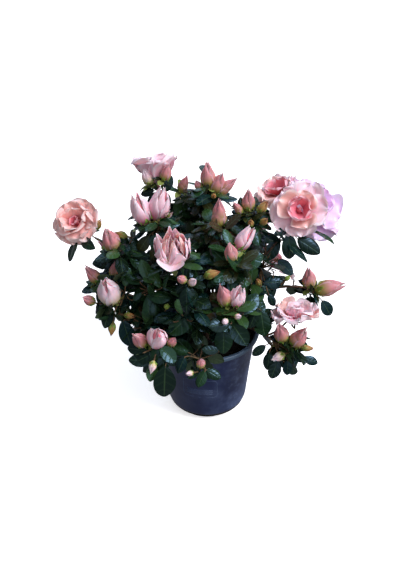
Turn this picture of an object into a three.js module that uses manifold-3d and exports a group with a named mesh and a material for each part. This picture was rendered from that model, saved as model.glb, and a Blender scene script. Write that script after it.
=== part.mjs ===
// A pink-flowered azalea in a plastic nursery pot, as an assembly of a pot, its compost, a short
// stem, the main boughs and the masses of foliage and bloom that those carry.
// Millimetres, +Z up, origin at the centre of the pot's underside, -Y towards the front.
import * as THREE from "three";
import { mergeVertices } from "three/addons/utils/BufferGeometryUtils.js";
import Module from "manifold-3d";

const wasm = await Module();
wasm.setup();

// ---------------------------------------------------------------- driving dimensions
const GAP = 0.35; // running gap kept between two separate solids
const SIDES = 36; // facets round the pot

const POT = {
  height: 106,
  rimRadius: 60, // outside of the rolled rim
  rimWidth: 4, // flat top of the rim
  rimDepth: 5, // height of the rim's outer skirt
  wallTopRadius: 55.4, // outside of the wall just under the rim
  wallFootRadius: 47, // outside of the wall where it turns in to the foot
  shoulderHeight: 10,
  footRadius: 41,
  wall: 1.5,
  floor: 2.2,
  recess: 2.4, // how far the underside is raised between the foot ring and the centre pad
  footRing: 5, // width of the ring that the pot stands on
  padRadius: 14,
};
const DRAIN = { count: 6, radius: 3.6, circle: 26, sides: 10, firstDegrees: 18 };
const NOTCH = { count: 8, width: 7, height: 1.9, depth: 6, firstDegrees: -72 };

const COMPOST = {
  top: 92, // where it meets the wall
  crown: 2.5, // rise towards the stem
  ruffle: 0.9, // roughness of the surface
  rings: [0.86, 0.66, 0.46], // rings of the surface, as shares of its radius
  sides: 24,
};
const STEM = {
  radius: 6.2,
  flare: 10.5, // radius of the root flare at the flat foot
  tip: 4.6,
  height: 24,
  lean: 2.5,
  sides: 10,
  rings: [2, 4.5, 8, 13, 18.5, 22.4], // heights above the foot
};
const BOUGH = { foot: 2.7, tip: 1.25, sides: 5, steps: 4, socket: 6 };
const FORK = new THREE.Vector3(STEM.lean, 0, COMPOST.top + COMPOST.crown + STEM.height * 0.62);

const FOLIAGE = {
  detail: 2, // subdivisions of each mass's starting icosahedron
  body: 0.82, // the mass between its lobes, as a share of its full reach
  lobes: 11, // sprays of leaves that stand out from a mass
  lobeRise: 0.26, // how far the largest spray stands out, as a share of the reach
  lobeWidth: 0.42, // angular width of a spray, in radians
};

// Each mass: where its middle lies, its half length along the shoot and its half width across it.
// A mass with a bend grows on a bough of its own, whose middle is lifted by that much to arch it.
const MASSES = [
  { name: "left_bloom", at: [-139, 37, 215], half: [41, 30], bend: 4 },
  { name: "left_upper", at: [-97, 10, 198], half: [34, 26] },
  { name: "left", at: [-99, -20, 169], half: [36, 30], bend: 10 },
  { name: "left_low", at: [-75, -37, 141], half: [30, 25] },
  { name: "front_left", at: [-54, -80, 139], half: [36, 31], bend: 14 },
  { name: "front_leaves", at: [-47, -107, 119], half: [20, 16] },
  { name: "front_low", at: [-9, -97, 135], half: [25, 21], bend: 16 },
  { name: "front", at: [24, -60, 172], half: [38, 30], bend: 6 },
  { name: "centre", at: [-34, -29, 215], half: [38, 34], bend: 0 },
  { name: "centre_low", at: [-18, -55, 172], half: [37, 33] },
  { name: "centre_left", at: [-62, -27, 179], half: [34, 29] },
  { name: "top_left", at: [-56, 82, 252], half: [35, 29], bend: 0 },
  { name: "upper_left", at: [-58, 24, 236], half: [36, 28], bend: 0 },
  { name: "top", at: [-2, 65, 242], half: [36, 30], bend: 0 },
  { name: "upper", at: [12, 12, 233], half: [36, 26], bend: 0 },
  { name: "upper_right", at: [48, 37, 228], half: [34, 26], bend: 0 },
  { name: "right", at: [27, -23, 208], half: [34, 29] },
  { name: "right_upper", at: [76, 62, 243], half: [24, 20] },
  { name: "right_bloom", at: [96, 27, 235], half: [39, 34], bend: 0 },
  { name: "right_back", at: [104, 64, 231], half: [38, 33] },
  { name: "right_side", at: [69, 12, 188], half: [34, 25], bend: 8 },
  { name: "far_right", at: [124, 0, 156], half: [34, 26], bend: 40 },
  { name: "low_bloom", at: [96, -33, 148], half: [26, 23] },
  { name: "low_right", at: [82, -60, 124], half: [35, 31], bend: 20 },
  { name: "back_left", at: [-97, 84, 146], half: [39, 33], bend: 12 },
  { name: "back", at: [-28, 128, 176], half: [42, 35], bend: 8 },
  { name: "back_right", at: [52, 108, 170], half: [42, 34], bend: 8 },
  { name: "back_top", at: [-8, 84, 202], half: [35, 33] },
  { name: "back_low_left", at: [-62, 74, 136], half: [36, 28] },
  { name: "back_low", at: [20, 88, 134], half: [36, 28], bend: 14 },
  { name: "back_low_right", at: [73, 58, 150], half: [35, 28] },
];

// ---------------------------------------------------------------- materials
function finish(colour, roughness) {
  return new THREE.MeshStandardMaterial({ color: colour, roughness, metalness: 0 });
}
const FINISHES = {
  pot: finish(0x26304f, 0.42),
  compost: finish(0x1c1511, 0.95),
  bark: finish(0x5a4636, 0.85),
  foliage: finish(0x27402c, 0.5),
};

// ---------------------------------------------------------------- solids
// The closed geometry as a solid, with only its positions kept.
function solidOf(geometry) {
  const bare = geometry.clone();
  bare.deleteAttribute("normal");
  bare.deleteAttribute("uv");
  const merged = mergeVertices(bare, 1e-3);
  return new wasm.Manifold(
    new wasm.Mesh({
      numProp: 3,
      vertProperties: merged.attributes.position.array,
      triVerts: new Uint32Array(merged.index.array),
    }),
  );
}

// The largest single body of a solid, as a geometry.
function geometryOf(solid) {
  const bodies = solid.decompose().sort((a, b) => b.volume() - a.volume());
  const mesh = bodies[0].getMesh();
  const geometry = new THREE.BufferGeometry();
  geometry.setAttribute("position", new THREE.BufferAttribute(mesh.vertProperties, mesh.numProp));
  geometry.setIndex(new THREE.BufferAttribute(mesh.triVerts, 1));
  geometry.computeVertexNormals();
  return geometry;
}

function namedMesh(name, geometry, material) {
  const mesh = new THREE.Mesh(geometry, material);
  mesh.name = name;
  return mesh;
}

// A repeatable random number source, one for each piece.
function randomFrom(seed) {
  let state = seed * 2654435761;
  return () => {
    state = (state + 0x6d2b79f5) | 0;
    let mixed = Math.imul(state ^ (state >>> 15), 1 | state);
    mixed = (mixed + Math.imul(mixed ^ (mixed >>> 7), 61 | mixed)) ^ mixed;
    return ((mixed ^ (mixed >>> 14)) >>> 0) / 4294967296;
  };
}

// A lathe's profile is drawn in X and Y and turned about Y, so it is tipped up to stand on Z.
function turned(profile, sides = SIDES) {
  const points = profile.map(([radius, height]) => new THREE.Vector2(radius, height));
  return new THREE.LatheGeometry(points, sides).rotateX(Math.PI / 2);
}

// ---------------------------------------------------------------- pot and compost
function insideRadius(height) {
  const share = (height - POT.shoulderHeight) / (POT.height - POT.rimDepth - POT.shoulderHeight);
  const outside = POT.wallFootRadius + (POT.wallTopRadius - POT.wallFootRadius) * share;
  return outside - POT.wall;
}

// The wall and rim as one closed turning, with drain holes through the floor and notches in the foot.
function potSolid() {
  const ringInside = POT.footRadius - POT.footRing;
  const skirtFoot = POT.height - POT.rimDepth;
  const floorTop = POT.recess + POT.floor;
  const profile = [
    [0, 0],
    [POT.padRadius, 0],
    [POT.padRadius + 1, POT.recess],
    [ringInside - 1, POT.recess],
    [ringInside, 0],
    [POT.footRadius, 0],
    [POT.footRadius + 1.2, 1.6],
    [POT.wallFootRadius, POT.shoulderHeight],
    [POT.wallTopRadius, skirtFoot],
    [POT.rimRadius, skirtFoot],
    [POT.rimRadius, POT.height - 0.8],
    [POT.rimRadius - 0.8, POT.height],
    [POT.rimRadius - POT.rimWidth, POT.height],
    [insideRadius(skirtFoot), skirtFoot - 1],
    [insideRadius(POT.shoulderHeight), POT.shoulderHeight],
    [POT.footRadius - POT.wall, floorTop],
    [0, floorTop],
  ];
  let pot = solidOf(turned(profile));
  const hole = new THREE.CylinderGeometry(DRAIN.radius, DRAIN.radius, 4 * floorTop, DRAIN.sides);
  hole.rotateX(Math.PI / 2);
  for (let i = 0; i < DRAIN.count; i += 1) {
    const turn = THREE.MathUtils.degToRad(DRAIN.firstDegrees + (360 / DRAIN.count) * i);
    const x = DRAIN.circle * Math.cos(turn);
    const y = DRAIN.circle * Math.sin(turn);
    pot = pot.subtract(solidOf(hole.clone().translate(x, y, 0)));
  }
  const notch = new THREE.BoxGeometry(2 * NOTCH.depth, NOTCH.width, 2 * NOTCH.height);
  for (let i = 0; i < NOTCH.count; i += 1) {
    const turn = THREE.MathUtils.degToRad(NOTCH.firstDegrees + (360 / NOTCH.count) * i);
    const cut = notch.clone().translate(POT.footRadius, 0, 0).rotateZ(turn);
    pot = pot.subtract(solidOf(cut));
  }
  return pot;
}

// The root ball's compost fills the pot to just under the rim, a little heaped towards the stem.
function compostGeometry() {
  const floorTop = POT.recess + POT.floor + GAP;
  const footRadius = POT.footRadius - POT.wall - 2 * GAP;
  const shoulder = POT.shoulderHeight + GAP;
  const topRadius = insideRadius(COMPOST.top) - GAP;
  const surface = [...COMPOST.rings, STEM.flare / topRadius + 0.02].map((share) => [
    topRadius * share,
    COMPOST.top + COMPOST.crown * (1 - share) ** 2 + 0.4 * Math.sin(share * 40),
  ]);
  const plateau = COMPOST.top + COMPOST.crown;
  const profile = [
    [0, floorTop],
    [footRadius, floorTop],
    [insideRadius(POT.shoulderHeight) - 2 * GAP, shoulder],
    [topRadius, COMPOST.top],
    ...surface,
    [STEM.flare, plateau],
    [0, plateau],
  ];
  const geometry = turned(profile, COMPOST.sides);
  const place = geometry.attributes.position;
  for (let i = 0; i < place.count; i += 1) {
    const [x, y, z] = [place.getX(i), place.getY(i), place.getZ(i)];
    const radius = Math.hypot(x, y);
    if (z < COMPOST.top - 1 || radius < STEM.flare + 1 || radius > topRadius - 1) continue;
    place.setZ(i, z + COMPOST.ruffle * Math.sin(x * 0.55) * Math.cos(y * 0.47 + x * 0.2));
  }
  return geometry;
}

// ---------------------------------------------------------------- stem and boughs
// A tapering limb: a cylinder one unit long whose rings are carried along the curve.
function limb(curve, footRadius, tipRadius) {
  const tube = new THREE.CylinderGeometry(1, 1, 1, BOUGH.sides, BOUGH.steps);
  const frames = curve.computeFrenetFrames(BOUGH.steps, false);
  const place = tube.attributes.position;
  for (let i = 0; i < place.count; i += 1) {
    const share = THREE.MathUtils.clamp(place.getY(i) + 0.5, 0, 1);
    const step = Math.round(share * BOUGH.steps);
    const radius = THREE.MathUtils.lerp(footRadius, tipRadius, share ** 0.8);
    const middle = curve.getPointAt(share);
    middle.addScaledVector(frames.normals[step], place.getX(i) * radius);
    middle.addScaledVector(frames.binormals[step], -place.getZ(i) * radius);
    place.setXYZ(i, middle.x, middle.y, middle.z);
  }
  return solidOf(tube);
}

// The stem's radius at a height above its flat foot: a quick flare at the roots, then a slow taper.
// Here and below, extra grows a piece all round for what has to keep clear of it.
function stemRadius(height, extra) {
  const share = height / STEM.height;
  const flare = (STEM.flare - STEM.radius) * Math.exp(-height / 3.2);
  return THREE.MathUtils.lerp(STEM.radius, STEM.tip, share) + flare + extra;
}

function stemSolid(extra = 0) {
  const foot = COMPOST.top + COMPOST.crown + GAP;
  const side = [-extra, ...STEM.rings].map((height) => [stemRadius(height, extra), height]);
  const dome = [
    [STEM.tip * 0.6 + extra, STEM.height + extra],
    [0, STEM.height + 0.8 + extra],
  ];
  const stem = turned([[0, -extra], ...side, ...dome], STEM.sides);
  const place = stem.attributes.position;
  for (let i = 0; i < place.count; i += 1) {
    const height = place.getZ(i);
    const turn = Math.atan2(place.getY(i), place.getX(i));
    const buttress = 1 + 0.13 * Math.cos(5 * turn) * Math.exp(-Math.max(height, 0) / 4);
    const shift = STEM.lean * (height / STEM.height) ** 2;
    place.setX(i, place.getX(i) * buttress + shift);
    place.setY(i, place.getY(i) * buttress);
    place.setZ(i, height + foot);
  }
  return solidOf(stem);
}

// ---------------------------------------------------------------- masses
// The half width of a mass's plain ellipsoid along a direction.
function plainReach(mass, direction) {
  const along = direction.dot(mass.axis);
  return 1 / Math.sqrt((along / mass.half[0]) ** 2 + (1 - along * along) / mass.half[1] ** 2);
}

// A mass's middle and axis, with its sprays dealt out round it by the golden angle and unsettled.
function prepareMass(mass, index) {
  const random = randomFrom(index + 11);
  mass.middle = new THREE.Vector3(...mass.at);
  mass.axis = mass.middle.clone().sub(FORK).normalize();
  const turnToAxis = new THREE.Quaternion().setFromUnitVectors(new THREE.Vector3(0, 0, 1), mass.axis);
  mass.lobes = Array.from({ length: FOLIAGE.lobes }, (_, i) => {
    const height = 1 - (2 * i + 1) / FOLIAGE.lobes + 0.12 * (random() - 0.5);
    const turn = 2.39996 * i + 0.7 * (random() - 0.5);
    const flat = Math.sqrt(Math.max(0, 1 - height * height));
    const towards = new THREE.Vector3(flat * Math.cos(turn), flat * Math.sin(turn), height);
    return {
      towards: towards.applyQuaternion(turnToAxis).normalize(),
      rise: FOLIAGE.lobeRise * (0.45 + 0.55 * random()),
    };
  });
}

// The planes that divide a mass from its neighbours, in proportion to what each would reach.
function divideMass(mass) {
  mass.planes = MASSES.filter((other) => other !== mass).map((other) => {
    const towards = other.middle.clone().sub(mass.middle);
    const apart = towards.length();
    towards.normalize();
    const own = plainReach(mass, towards);
    const share = own / (own + plainReach(other, towards));
    return { towards, distance: apart * share - GAP / 2 };
  });
}

// How far a mass reaches from its middle along a unit direction: its lobed ellipsoid, cut short at
// the dividing planes.
function reach(mass, direction) {
  const swell = mass.lobes.reduce((most, lobe) => {
    const angle = direction.angleTo(lobe.towards);
    return Math.max(most, lobe.rise * Math.exp(-((angle / FOLIAGE.lobeWidth) ** 2)));
  }, 0);
  const free = plainReach(mass, direction) * (FOLIAGE.body + swell);
  return mass.planes.reduce((far, plane) => {
    const towards = direction.dot(plane.towards);
    return towards > 1e-6 ? Math.min(far, plane.distance / towards) : far;
  }, free);
}

function massSolid(mass) {
  const blob = new THREE.IcosahedronGeometry(1, FOLIAGE.detail);
  const place = blob.attributes.position;
  const direction = new THREE.Vector3();
  const point = new THREE.Vector3();
  for (let i = 0; i < place.count; i += 1) {
    direction.fromBufferAttribute(place, i).normalize();
    point.copy(mass.middle).addScaledVector(direction, reach(mass, direction));
    place.setXYZ(i, point.x, point.y, point.z);
  }
  return solidOf(blob);
}

// The space that the pot and the air just over its rim take, which the foliage keeps out of.
function potSpace() {
  const space = new THREE.CylinderGeometry(1, 1, POT.height + 4, SIDES);
  space.scale(POT.rimRadius + 3 * GAP, 1, POT.rimRadius + 3 * GAP);
  space.rotateX(Math.PI / 2).translate(0, 0, POT.height / 2 - 1);
  return solidOf(space);
}

// A bough rises from the fork, arches by its bend and ends in a socket in its own mass.
function boughCurve(mass) {
  const span = mass.middle.clone().sub(FORK);
  const knee = FORK.clone().addScaledVector(span, 0.5);
  knee.z += mass.bend;
  const back = knee.clone().sub(mass.middle).normalize();
  const end = mass.middle.clone().addScaledVector(back, reach(mass, back) - BOUGH.socket);
  return new THREE.QuadraticBezierCurve3(FORK.clone(), knee, end);
}

function boughSolid(mass, extra) {
  return limb(boughCurve(mass), BOUGH.foot + extra, BOUGH.tip + extra);
}

// ---------------------------------------------------------------- assembly
const azalea = new THREE.Group();
azalea.add(namedMesh("pot", geometryOf(potSolid()), FINISHES.pot));
azalea.add(namedMesh("compost", geometryOf(solidOf(compostGeometry())), FINISHES.compost));
azalea.add(namedMesh("stem", geometryOf(stemSolid()), FINISHES.bark));

MASSES.forEach(prepareMass);
MASSES.forEach(divideMass);
let wood = stemSolid(GAP); // all the wood so far, grown by the gap, which later pieces keep clear of
for (const mass of MASSES.filter((each) => "bend" in each)) {
  const bough = boughSolid(mass, 0).subtract(wood);
  azalea.add(namedMesh(`bough_${mass.name}`, geometryOf(bough), FINISHES.bark));
  wood = wood.add(boughSolid(mass, GAP));
}
const taken = wood.add(potSpace());
for (const mass of MASSES) {
  const geometry = geometryOf(massSolid(mass).subtract(taken));
  azalea.add(namedMesh(`mass_${mass.name}`, geometry, FINISHES.foliage));
}

export default azalea;
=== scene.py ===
"""A potted azalea in bloom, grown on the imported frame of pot, compost, stem, boughs and foliage.

Everything is in metres with +Z up and the plant's front towards -Y. Each surface is a function of
two parameters, worked out with numpy for all its copies at once. Only the plan of the shoots and
flowers is a loop.
"""

from __future__ import annotations

import logging
import math
from dataclasses import dataclass, field, replace
from enum import Enum, IntEnum
from functools import cache

import bpy
import numpy as np
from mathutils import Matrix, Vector


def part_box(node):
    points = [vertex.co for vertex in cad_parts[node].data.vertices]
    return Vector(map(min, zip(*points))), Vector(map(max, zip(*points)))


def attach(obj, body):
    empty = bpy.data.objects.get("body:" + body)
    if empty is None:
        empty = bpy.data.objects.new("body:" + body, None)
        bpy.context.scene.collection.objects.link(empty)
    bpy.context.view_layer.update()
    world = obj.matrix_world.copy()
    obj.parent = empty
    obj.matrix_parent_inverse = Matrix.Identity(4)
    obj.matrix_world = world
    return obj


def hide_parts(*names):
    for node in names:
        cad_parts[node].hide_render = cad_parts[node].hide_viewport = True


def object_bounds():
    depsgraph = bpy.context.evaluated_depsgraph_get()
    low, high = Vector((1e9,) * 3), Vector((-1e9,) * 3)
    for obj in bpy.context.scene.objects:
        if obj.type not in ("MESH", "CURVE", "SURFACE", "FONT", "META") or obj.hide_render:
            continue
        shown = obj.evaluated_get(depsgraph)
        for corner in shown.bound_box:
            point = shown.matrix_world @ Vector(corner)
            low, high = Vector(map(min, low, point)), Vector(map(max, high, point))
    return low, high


Array = np.ndarray
Triple = tuple[float, float, float]
Socket = bpy.types.NodeSocket

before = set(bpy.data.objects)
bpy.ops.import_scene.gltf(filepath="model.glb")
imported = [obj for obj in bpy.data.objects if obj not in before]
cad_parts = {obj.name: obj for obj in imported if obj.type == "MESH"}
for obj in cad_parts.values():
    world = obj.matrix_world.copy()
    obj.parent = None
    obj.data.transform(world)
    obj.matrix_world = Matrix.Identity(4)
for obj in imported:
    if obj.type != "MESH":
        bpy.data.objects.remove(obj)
CAD_BOX = [list(corner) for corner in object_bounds()]

log = logging.getLogger("azalea")

MM = 0.001
GOLDEN_TURN = math.pi * (3 - math.sqrt(5))
UP = np.array([0.0, 0.0, 1.0])
SEED = 20
TINTS = 8  # tiles along the colour map that leaves and petals share
TILE_MARGIN = 0.06  # share of a tile left plain round its pattern
MAP_NAME = "OFBake"


# ------------------ vectors and noise
def unit(v: Array) -> Array:
    """The vectors of an array scaled to length one."""
    return v / np.maximum(np.linalg.norm(v, axis=-1, keepdims=True), 1e-12)


def across_frame(along: Array, face: Array) -> tuple[Array, Array]:
    """Squares a facing direction to a direction of growth.

    Args:
        along: Directions of growth, (n, 3).
        face: Directions that the upper side should look in, (n, 3).

    Returns:
        The facing direction made square to the growth, and the direction across both.
    """
    square = unit(face - (face * along).sum(-1, keepdims=True) * along)
    return square, np.cross(square, along)


def side_axes(axis: Array) -> tuple[Array, Array]:
    """Two directions square to each axis, (n, 3), and to each other."""
    helper = np.where(np.abs(axis[:, 2:3]) < 0.9, UP, np.array([1.0, 0.0, 0.0]))
    first = unit(np.cross(helper, axis))
    return first, np.cross(axis, first)


def round_axis(axis: Array, tilt: Array, turn: Array) -> tuple[Array, Array]:
    """Directions that lean away from an axis, and the directions that face back to it.

    Args:
        axis: The axes, (n, 3).
        tilt: Angle of each direction from its axis, in radians, (n,).
        turn: Angle of each direction round its axis, in radians, (n,).

    Returns:
        The leaning directions and their upper-side directions, each (n, 3).
    """
    first, second = side_axes(axis)
    outward = np.cos(turn)[:, None] * first + np.sin(turn)[:, None] * second
    along = np.cos(tilt)[:, None] * axis + np.sin(tilt)[:, None] * outward
    face = np.sin(tilt)[:, None] * axis - np.cos(tilt)[:, None] * outward
    return along, face


def per_copy(*values: Array) -> tuple[Array, ...]:
    """Values of each copy, (copies,), shaped to be read at every ring and at every place round it."""
    return tuple(value[:, None, None] for value in values)


def gathered(things: list | tuple, *names: str) -> tuple[Array, ...]:
    """The named values of a list of things, each as one array."""
    return tuple(np.array([getattr(thing, name) for thing in things]) for name in names)


def set_out(base: Array, local: Array, axes: tuple[Array, ...]) -> Array:
    """Turns each copy's own coordinates to its axes and moves them to its base.

    Args:
        base: Where each copy starts, (copies, 3).
        local: Coordinates along its own axes, (copies, rings, around, 3).
        axes: Its three axes, each (copies, 3).

    Returns:
        The vertices, (copies, rings, around, 3).
    """
    return base[:, None, None, :] + np.einsum("nrak,nkx->nrax", local, np.stack(axes, 1))


def ripple(points: Array, size: float, seed: int, octaves: int = 4) -> Array:
    """Smooth noise between about -1 and 1: a sum of plane waves in seeded directions.

    Args:
        points: Where to read it, (..., 3), in metres.
        size: Wavelength of the coarsest waves, in metres.
        seed: Sets the waves' directions and phases.
        octaves: How many halvings of the wavelength are added, each at half the height.

    Returns:
        The noise at each point, (...).
    """
    rng = np.random.default_rng(seed)
    total = np.zeros(points.shape[:-1])
    waves_each = 4
    for octave in range(octaves):
        for _ in range(waves_each):
            wave = unit(rng.normal(size=3)) * (2 * math.pi * 2**octave / size)
            total += 0.5 ** (octave + 1) * np.sin(points @ wave + rng.uniform(0, 2 * math.pi))
    return total / 2


def filleted(corners: Array, reach: float, steps: int = 4) -> Array:
    """A line through corners with each inner corner rounded by a quadratic curve.

    The curve leaves the line a reach before the corner p, at a, and joins it a reach after, at b:
    (1-t)^2 a + 2t(1-t) p + t^2 b.

    Args:
        corners: The line's corners, (n, 2).
        reach: How far from a corner its rounding begins, at most 0.45 of the shorter side.
        steps: Points on each rounding.

    Returns:
        The rounded line, (m, 2).
    """
    before, corner, after = corners[:-2], corners[1:-1], corners[2:]
    back, on = before - corner, after - corner
    shorter = np.minimum(np.linalg.norm(back, axis=1), np.linalg.norm(on, axis=1))
    reaches = np.minimum(reach, 0.45 * shorter)
    a = corner + unit(back) * reaches[:, None]
    b = corner + unit(on) * reaches[:, None]
    t = np.linspace(0, 1, steps)[None, :, None]
    curve = (1 - t) ** 2 * a[:, None] + 2 * t * (1 - t) * corner[:, None] + t**2 * b[:, None]
    return np.concatenate([corners[:1], curve.reshape(-1, 2), corners[-1:]])


# ------------------ meshes from arrays
@dataclass(frozen=True)
class Lattice:
    """The faces of one closed tube of rings, shared by all copies of a shape.

    A ring runs clockwise as seen from the tube's far end. On a two-sided blade the first half of
    each ring is the upper side, from left to right, and the second half the underside. A looped
    tube has no ends: its last ring meets its first.
    """

    rings: int
    around: int
    two_sided: bool = False
    looped: bool = False

    def faces(self) -> tuple[Array, Array, Array]:
        """The corners of one copy.

        Returns:
            Vertex numbers corner by corner, corners in each face, and each corner's place: its
            share across, its share along, and 1 on the underside.
        """
        rows = self.rings if self.looped else self.rings - 1
        row, column = np.divmod(np.arange(rows * self.around), self.around)
        next_row, next_column = (row + 1) % self.rings, (column + 1) % self.around
        quads = [
            row * self.around + column,
            next_row * self.around + column,
            next_row * self.around + next_column,
            row * self.around + next_column,
        ]
        corners = np.stack(quads, -1).ravel()
        sizes = np.full(len(row), 4)
        u = (column[:, None] + np.array([0, 0, 1, 1])).ravel() / self.around
        v = (row[:, None] + np.array([0, 1, 1, 0])).ravel() / rows
        if not self.looped:
            start = np.arange(self.around)
            end = (self.rings - 1) * self.around + start[::-1]
            corners = np.concatenate([corners, start, end])
            sizes = np.concatenate([sizes, [self.around, self.around]])
            u = np.concatenate([u, start / self.around, start[::-1] / self.around])
            v = np.concatenate([v, np.zeros(self.around), np.ones(self.around)])
        under = np.zeros(len(u), bool)
        if self.two_sided:
            under[: 4 * len(row)] = np.repeat(column >= self.around // 2, 4)
            u = np.where(under | (u > 0.5), 2 - 2 * u, 2 * u)
        return corners, sizes, np.stack([u, v, under], -1)

    def creases(self) -> Array:
        """Which line of sharp edges each vertex is on: 1 a blade's margin, 2 an end ring, 3 both."""
        row, column = np.divmod(np.arange(self.rings * self.around), self.around)
        margin = self.two_sided & (column % (self.around // 2) == 0)
        end = (not self.looped) & ((row == 0) | (row == self.rings - 1))
        return margin + 2 * end


@dataclass
class Growth:
    """Surfaces of one kind, gathered to be made one mesh."""

    name: str
    mapped: bool = False  # whether the piece carries the colour map of leaves and petals
    parts: list[tuple[Array, ...]] = field(default_factory=list)
    vertices: int = 0

    def add(self, points: Array, lattice: Lattice, tint: Array | int = 0) -> None:
        """Adds copies of one shape.

        Args:
            points: Their vertices, (copies, rings, around, 3).
            lattice: The faces that all copies share.
            tint: Each copy's tile in the colour map, (copies,), or one for all.
        """
        copies = len(points)
        if copies == 0:
            return
        corners, sizes, place = lattice.faces()
        each = lattice.rings * lattice.around
        starts = self.vertices + each * np.arange(copies)
        tints = np.broadcast_to(np.asarray(tint), (copies,))[:, None]
        keep = 1 - 2 * TILE_MARGIN
        u = (tints + TILE_MARGIN + keep * place[:, 0]) / TINTS
        v = (place[:, 2] + TILE_MARGIN + keep * place[:, 1]) / 2
        places = np.stack([u, np.broadcast_to(v, u.shape)], -1).reshape(-1, 2)
        numbers, creases = (starts[:, None] + corners).ravel(), np.tile(lattice.creases(), copies)
        self.parts.append((points.reshape(-1, 3), numbers, np.tile(sizes, copies), places, creases))
        self.vertices += copies * each

    def build(self, material: bpy.types.Material, slot: str, stands_for: list[str]) -> bpy.types.Object:
        """Makes the mesh object, smooth shaded, in place, with its finish.

        Args:
            material: The finish.
            slot: The record's material slot that it belongs to; not used.
            stands_for: The nodes of the frame that it replaces.

        Returns:
            The new object, at the origin.
        """
        points, corners, sizes, places, creases = (np.concatenate(column) for column in zip(*self.parts))
        mesh = bpy.data.meshes.new(self.name)
        mesh.vertices.add(len(points))
        mesh.vertices.foreach_set("co", points.astype(np.float32).ravel())
        mesh.loops.add(len(corners))
        mesh.loops.foreach_set("vertex_index", corners.astype(np.int32))
        mesh.polygons.add(len(sizes))
        mesh.polygons.foreach_set("loop_start", np.concatenate([[0], np.cumsum(sizes)[:-1]]).astype(np.int32))
        mesh.polygons.foreach_set("use_smooth", np.ones(len(sizes), bool))
        if self.mapped:
            layer = mesh.uv_layers.new(name=MAP_NAME)
            layer.data.foreach_set("uv", places.astype(np.float32).ravel())
        mesh.materials.append(material)
        mesh.update(calc_edges=True)
        ends = np.empty(2 * len(mesh.edges), np.int32)
        mesh.edges.foreach_get("vertices", ends)
        lines = creases[ends.reshape(-1, 2)]
        sharp = mesh.attributes.new("sharp_edge", "BOOLEAN", "EDGE")
        sharp.data.foreach_set("value", (lines[:, 0] & lines[:, 1]) > 0)
        piece = put(self.name, mesh)
        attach(piece, "root")
        if stands_for:
            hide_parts(*stands_for)
        log.info("%s: %d triangles", self.name, int((sizes - 2).sum()))
        return piece


def put(name: str, data: bpy.types.ID) -> bpy.types.Object:
    """A new object of that name and data, in the scene."""
    thing = bpy.data.objects.new(name, data)
    bpy.context.scene.collection.objects.link(thing)
    return thing


# ------------------ shapes
@dataclass(frozen=True)
class BladeForm:
    """The plan of a leaf or petal."""

    rings: int  # along it
    across: int  # faces across it
    shoulder: float = 1.0  # above one, its widest place is past its middle
    fullness: float = 0.8  # under one, its outline is full and round
    thickness: float = 0.4 * MM
    gathering: float = 1.25  # above one, its rings come closer towards the tip
    reach: float = 0.997  # share of the length at which the last ring closes

    def lattice(self) -> Lattice:
        """The faces of one blade."""
        return Lattice(self.rings, 2 * self.across, two_sided=True)

    def along(self) -> Array:
        """Each ring's share of the length, a quarter sine of a power of its number."""
        return self.reach * np.sin(np.pi / 2 * np.linspace(0, 1, self.rings) ** self.gathering)

    def ring(self) -> tuple[Array, Array]:
        """Places round a cross-section.

        Returns:
            Each point's share across, from -1 to 1, and how far it stands from the middle of the
            thickness: 1 at the middle of the upper side, -1 below, and 0 on an edge.
        """
        over = np.linspace(-1, 1, self.across + 1)
        share = np.concatenate([over, over[::-1][1:-1]])
        side = np.concatenate([np.ones(self.across + 1), -np.ones(self.across - 1)])
        return share, side * np.sqrt(np.maximum(1 - share**2, 0))


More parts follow.
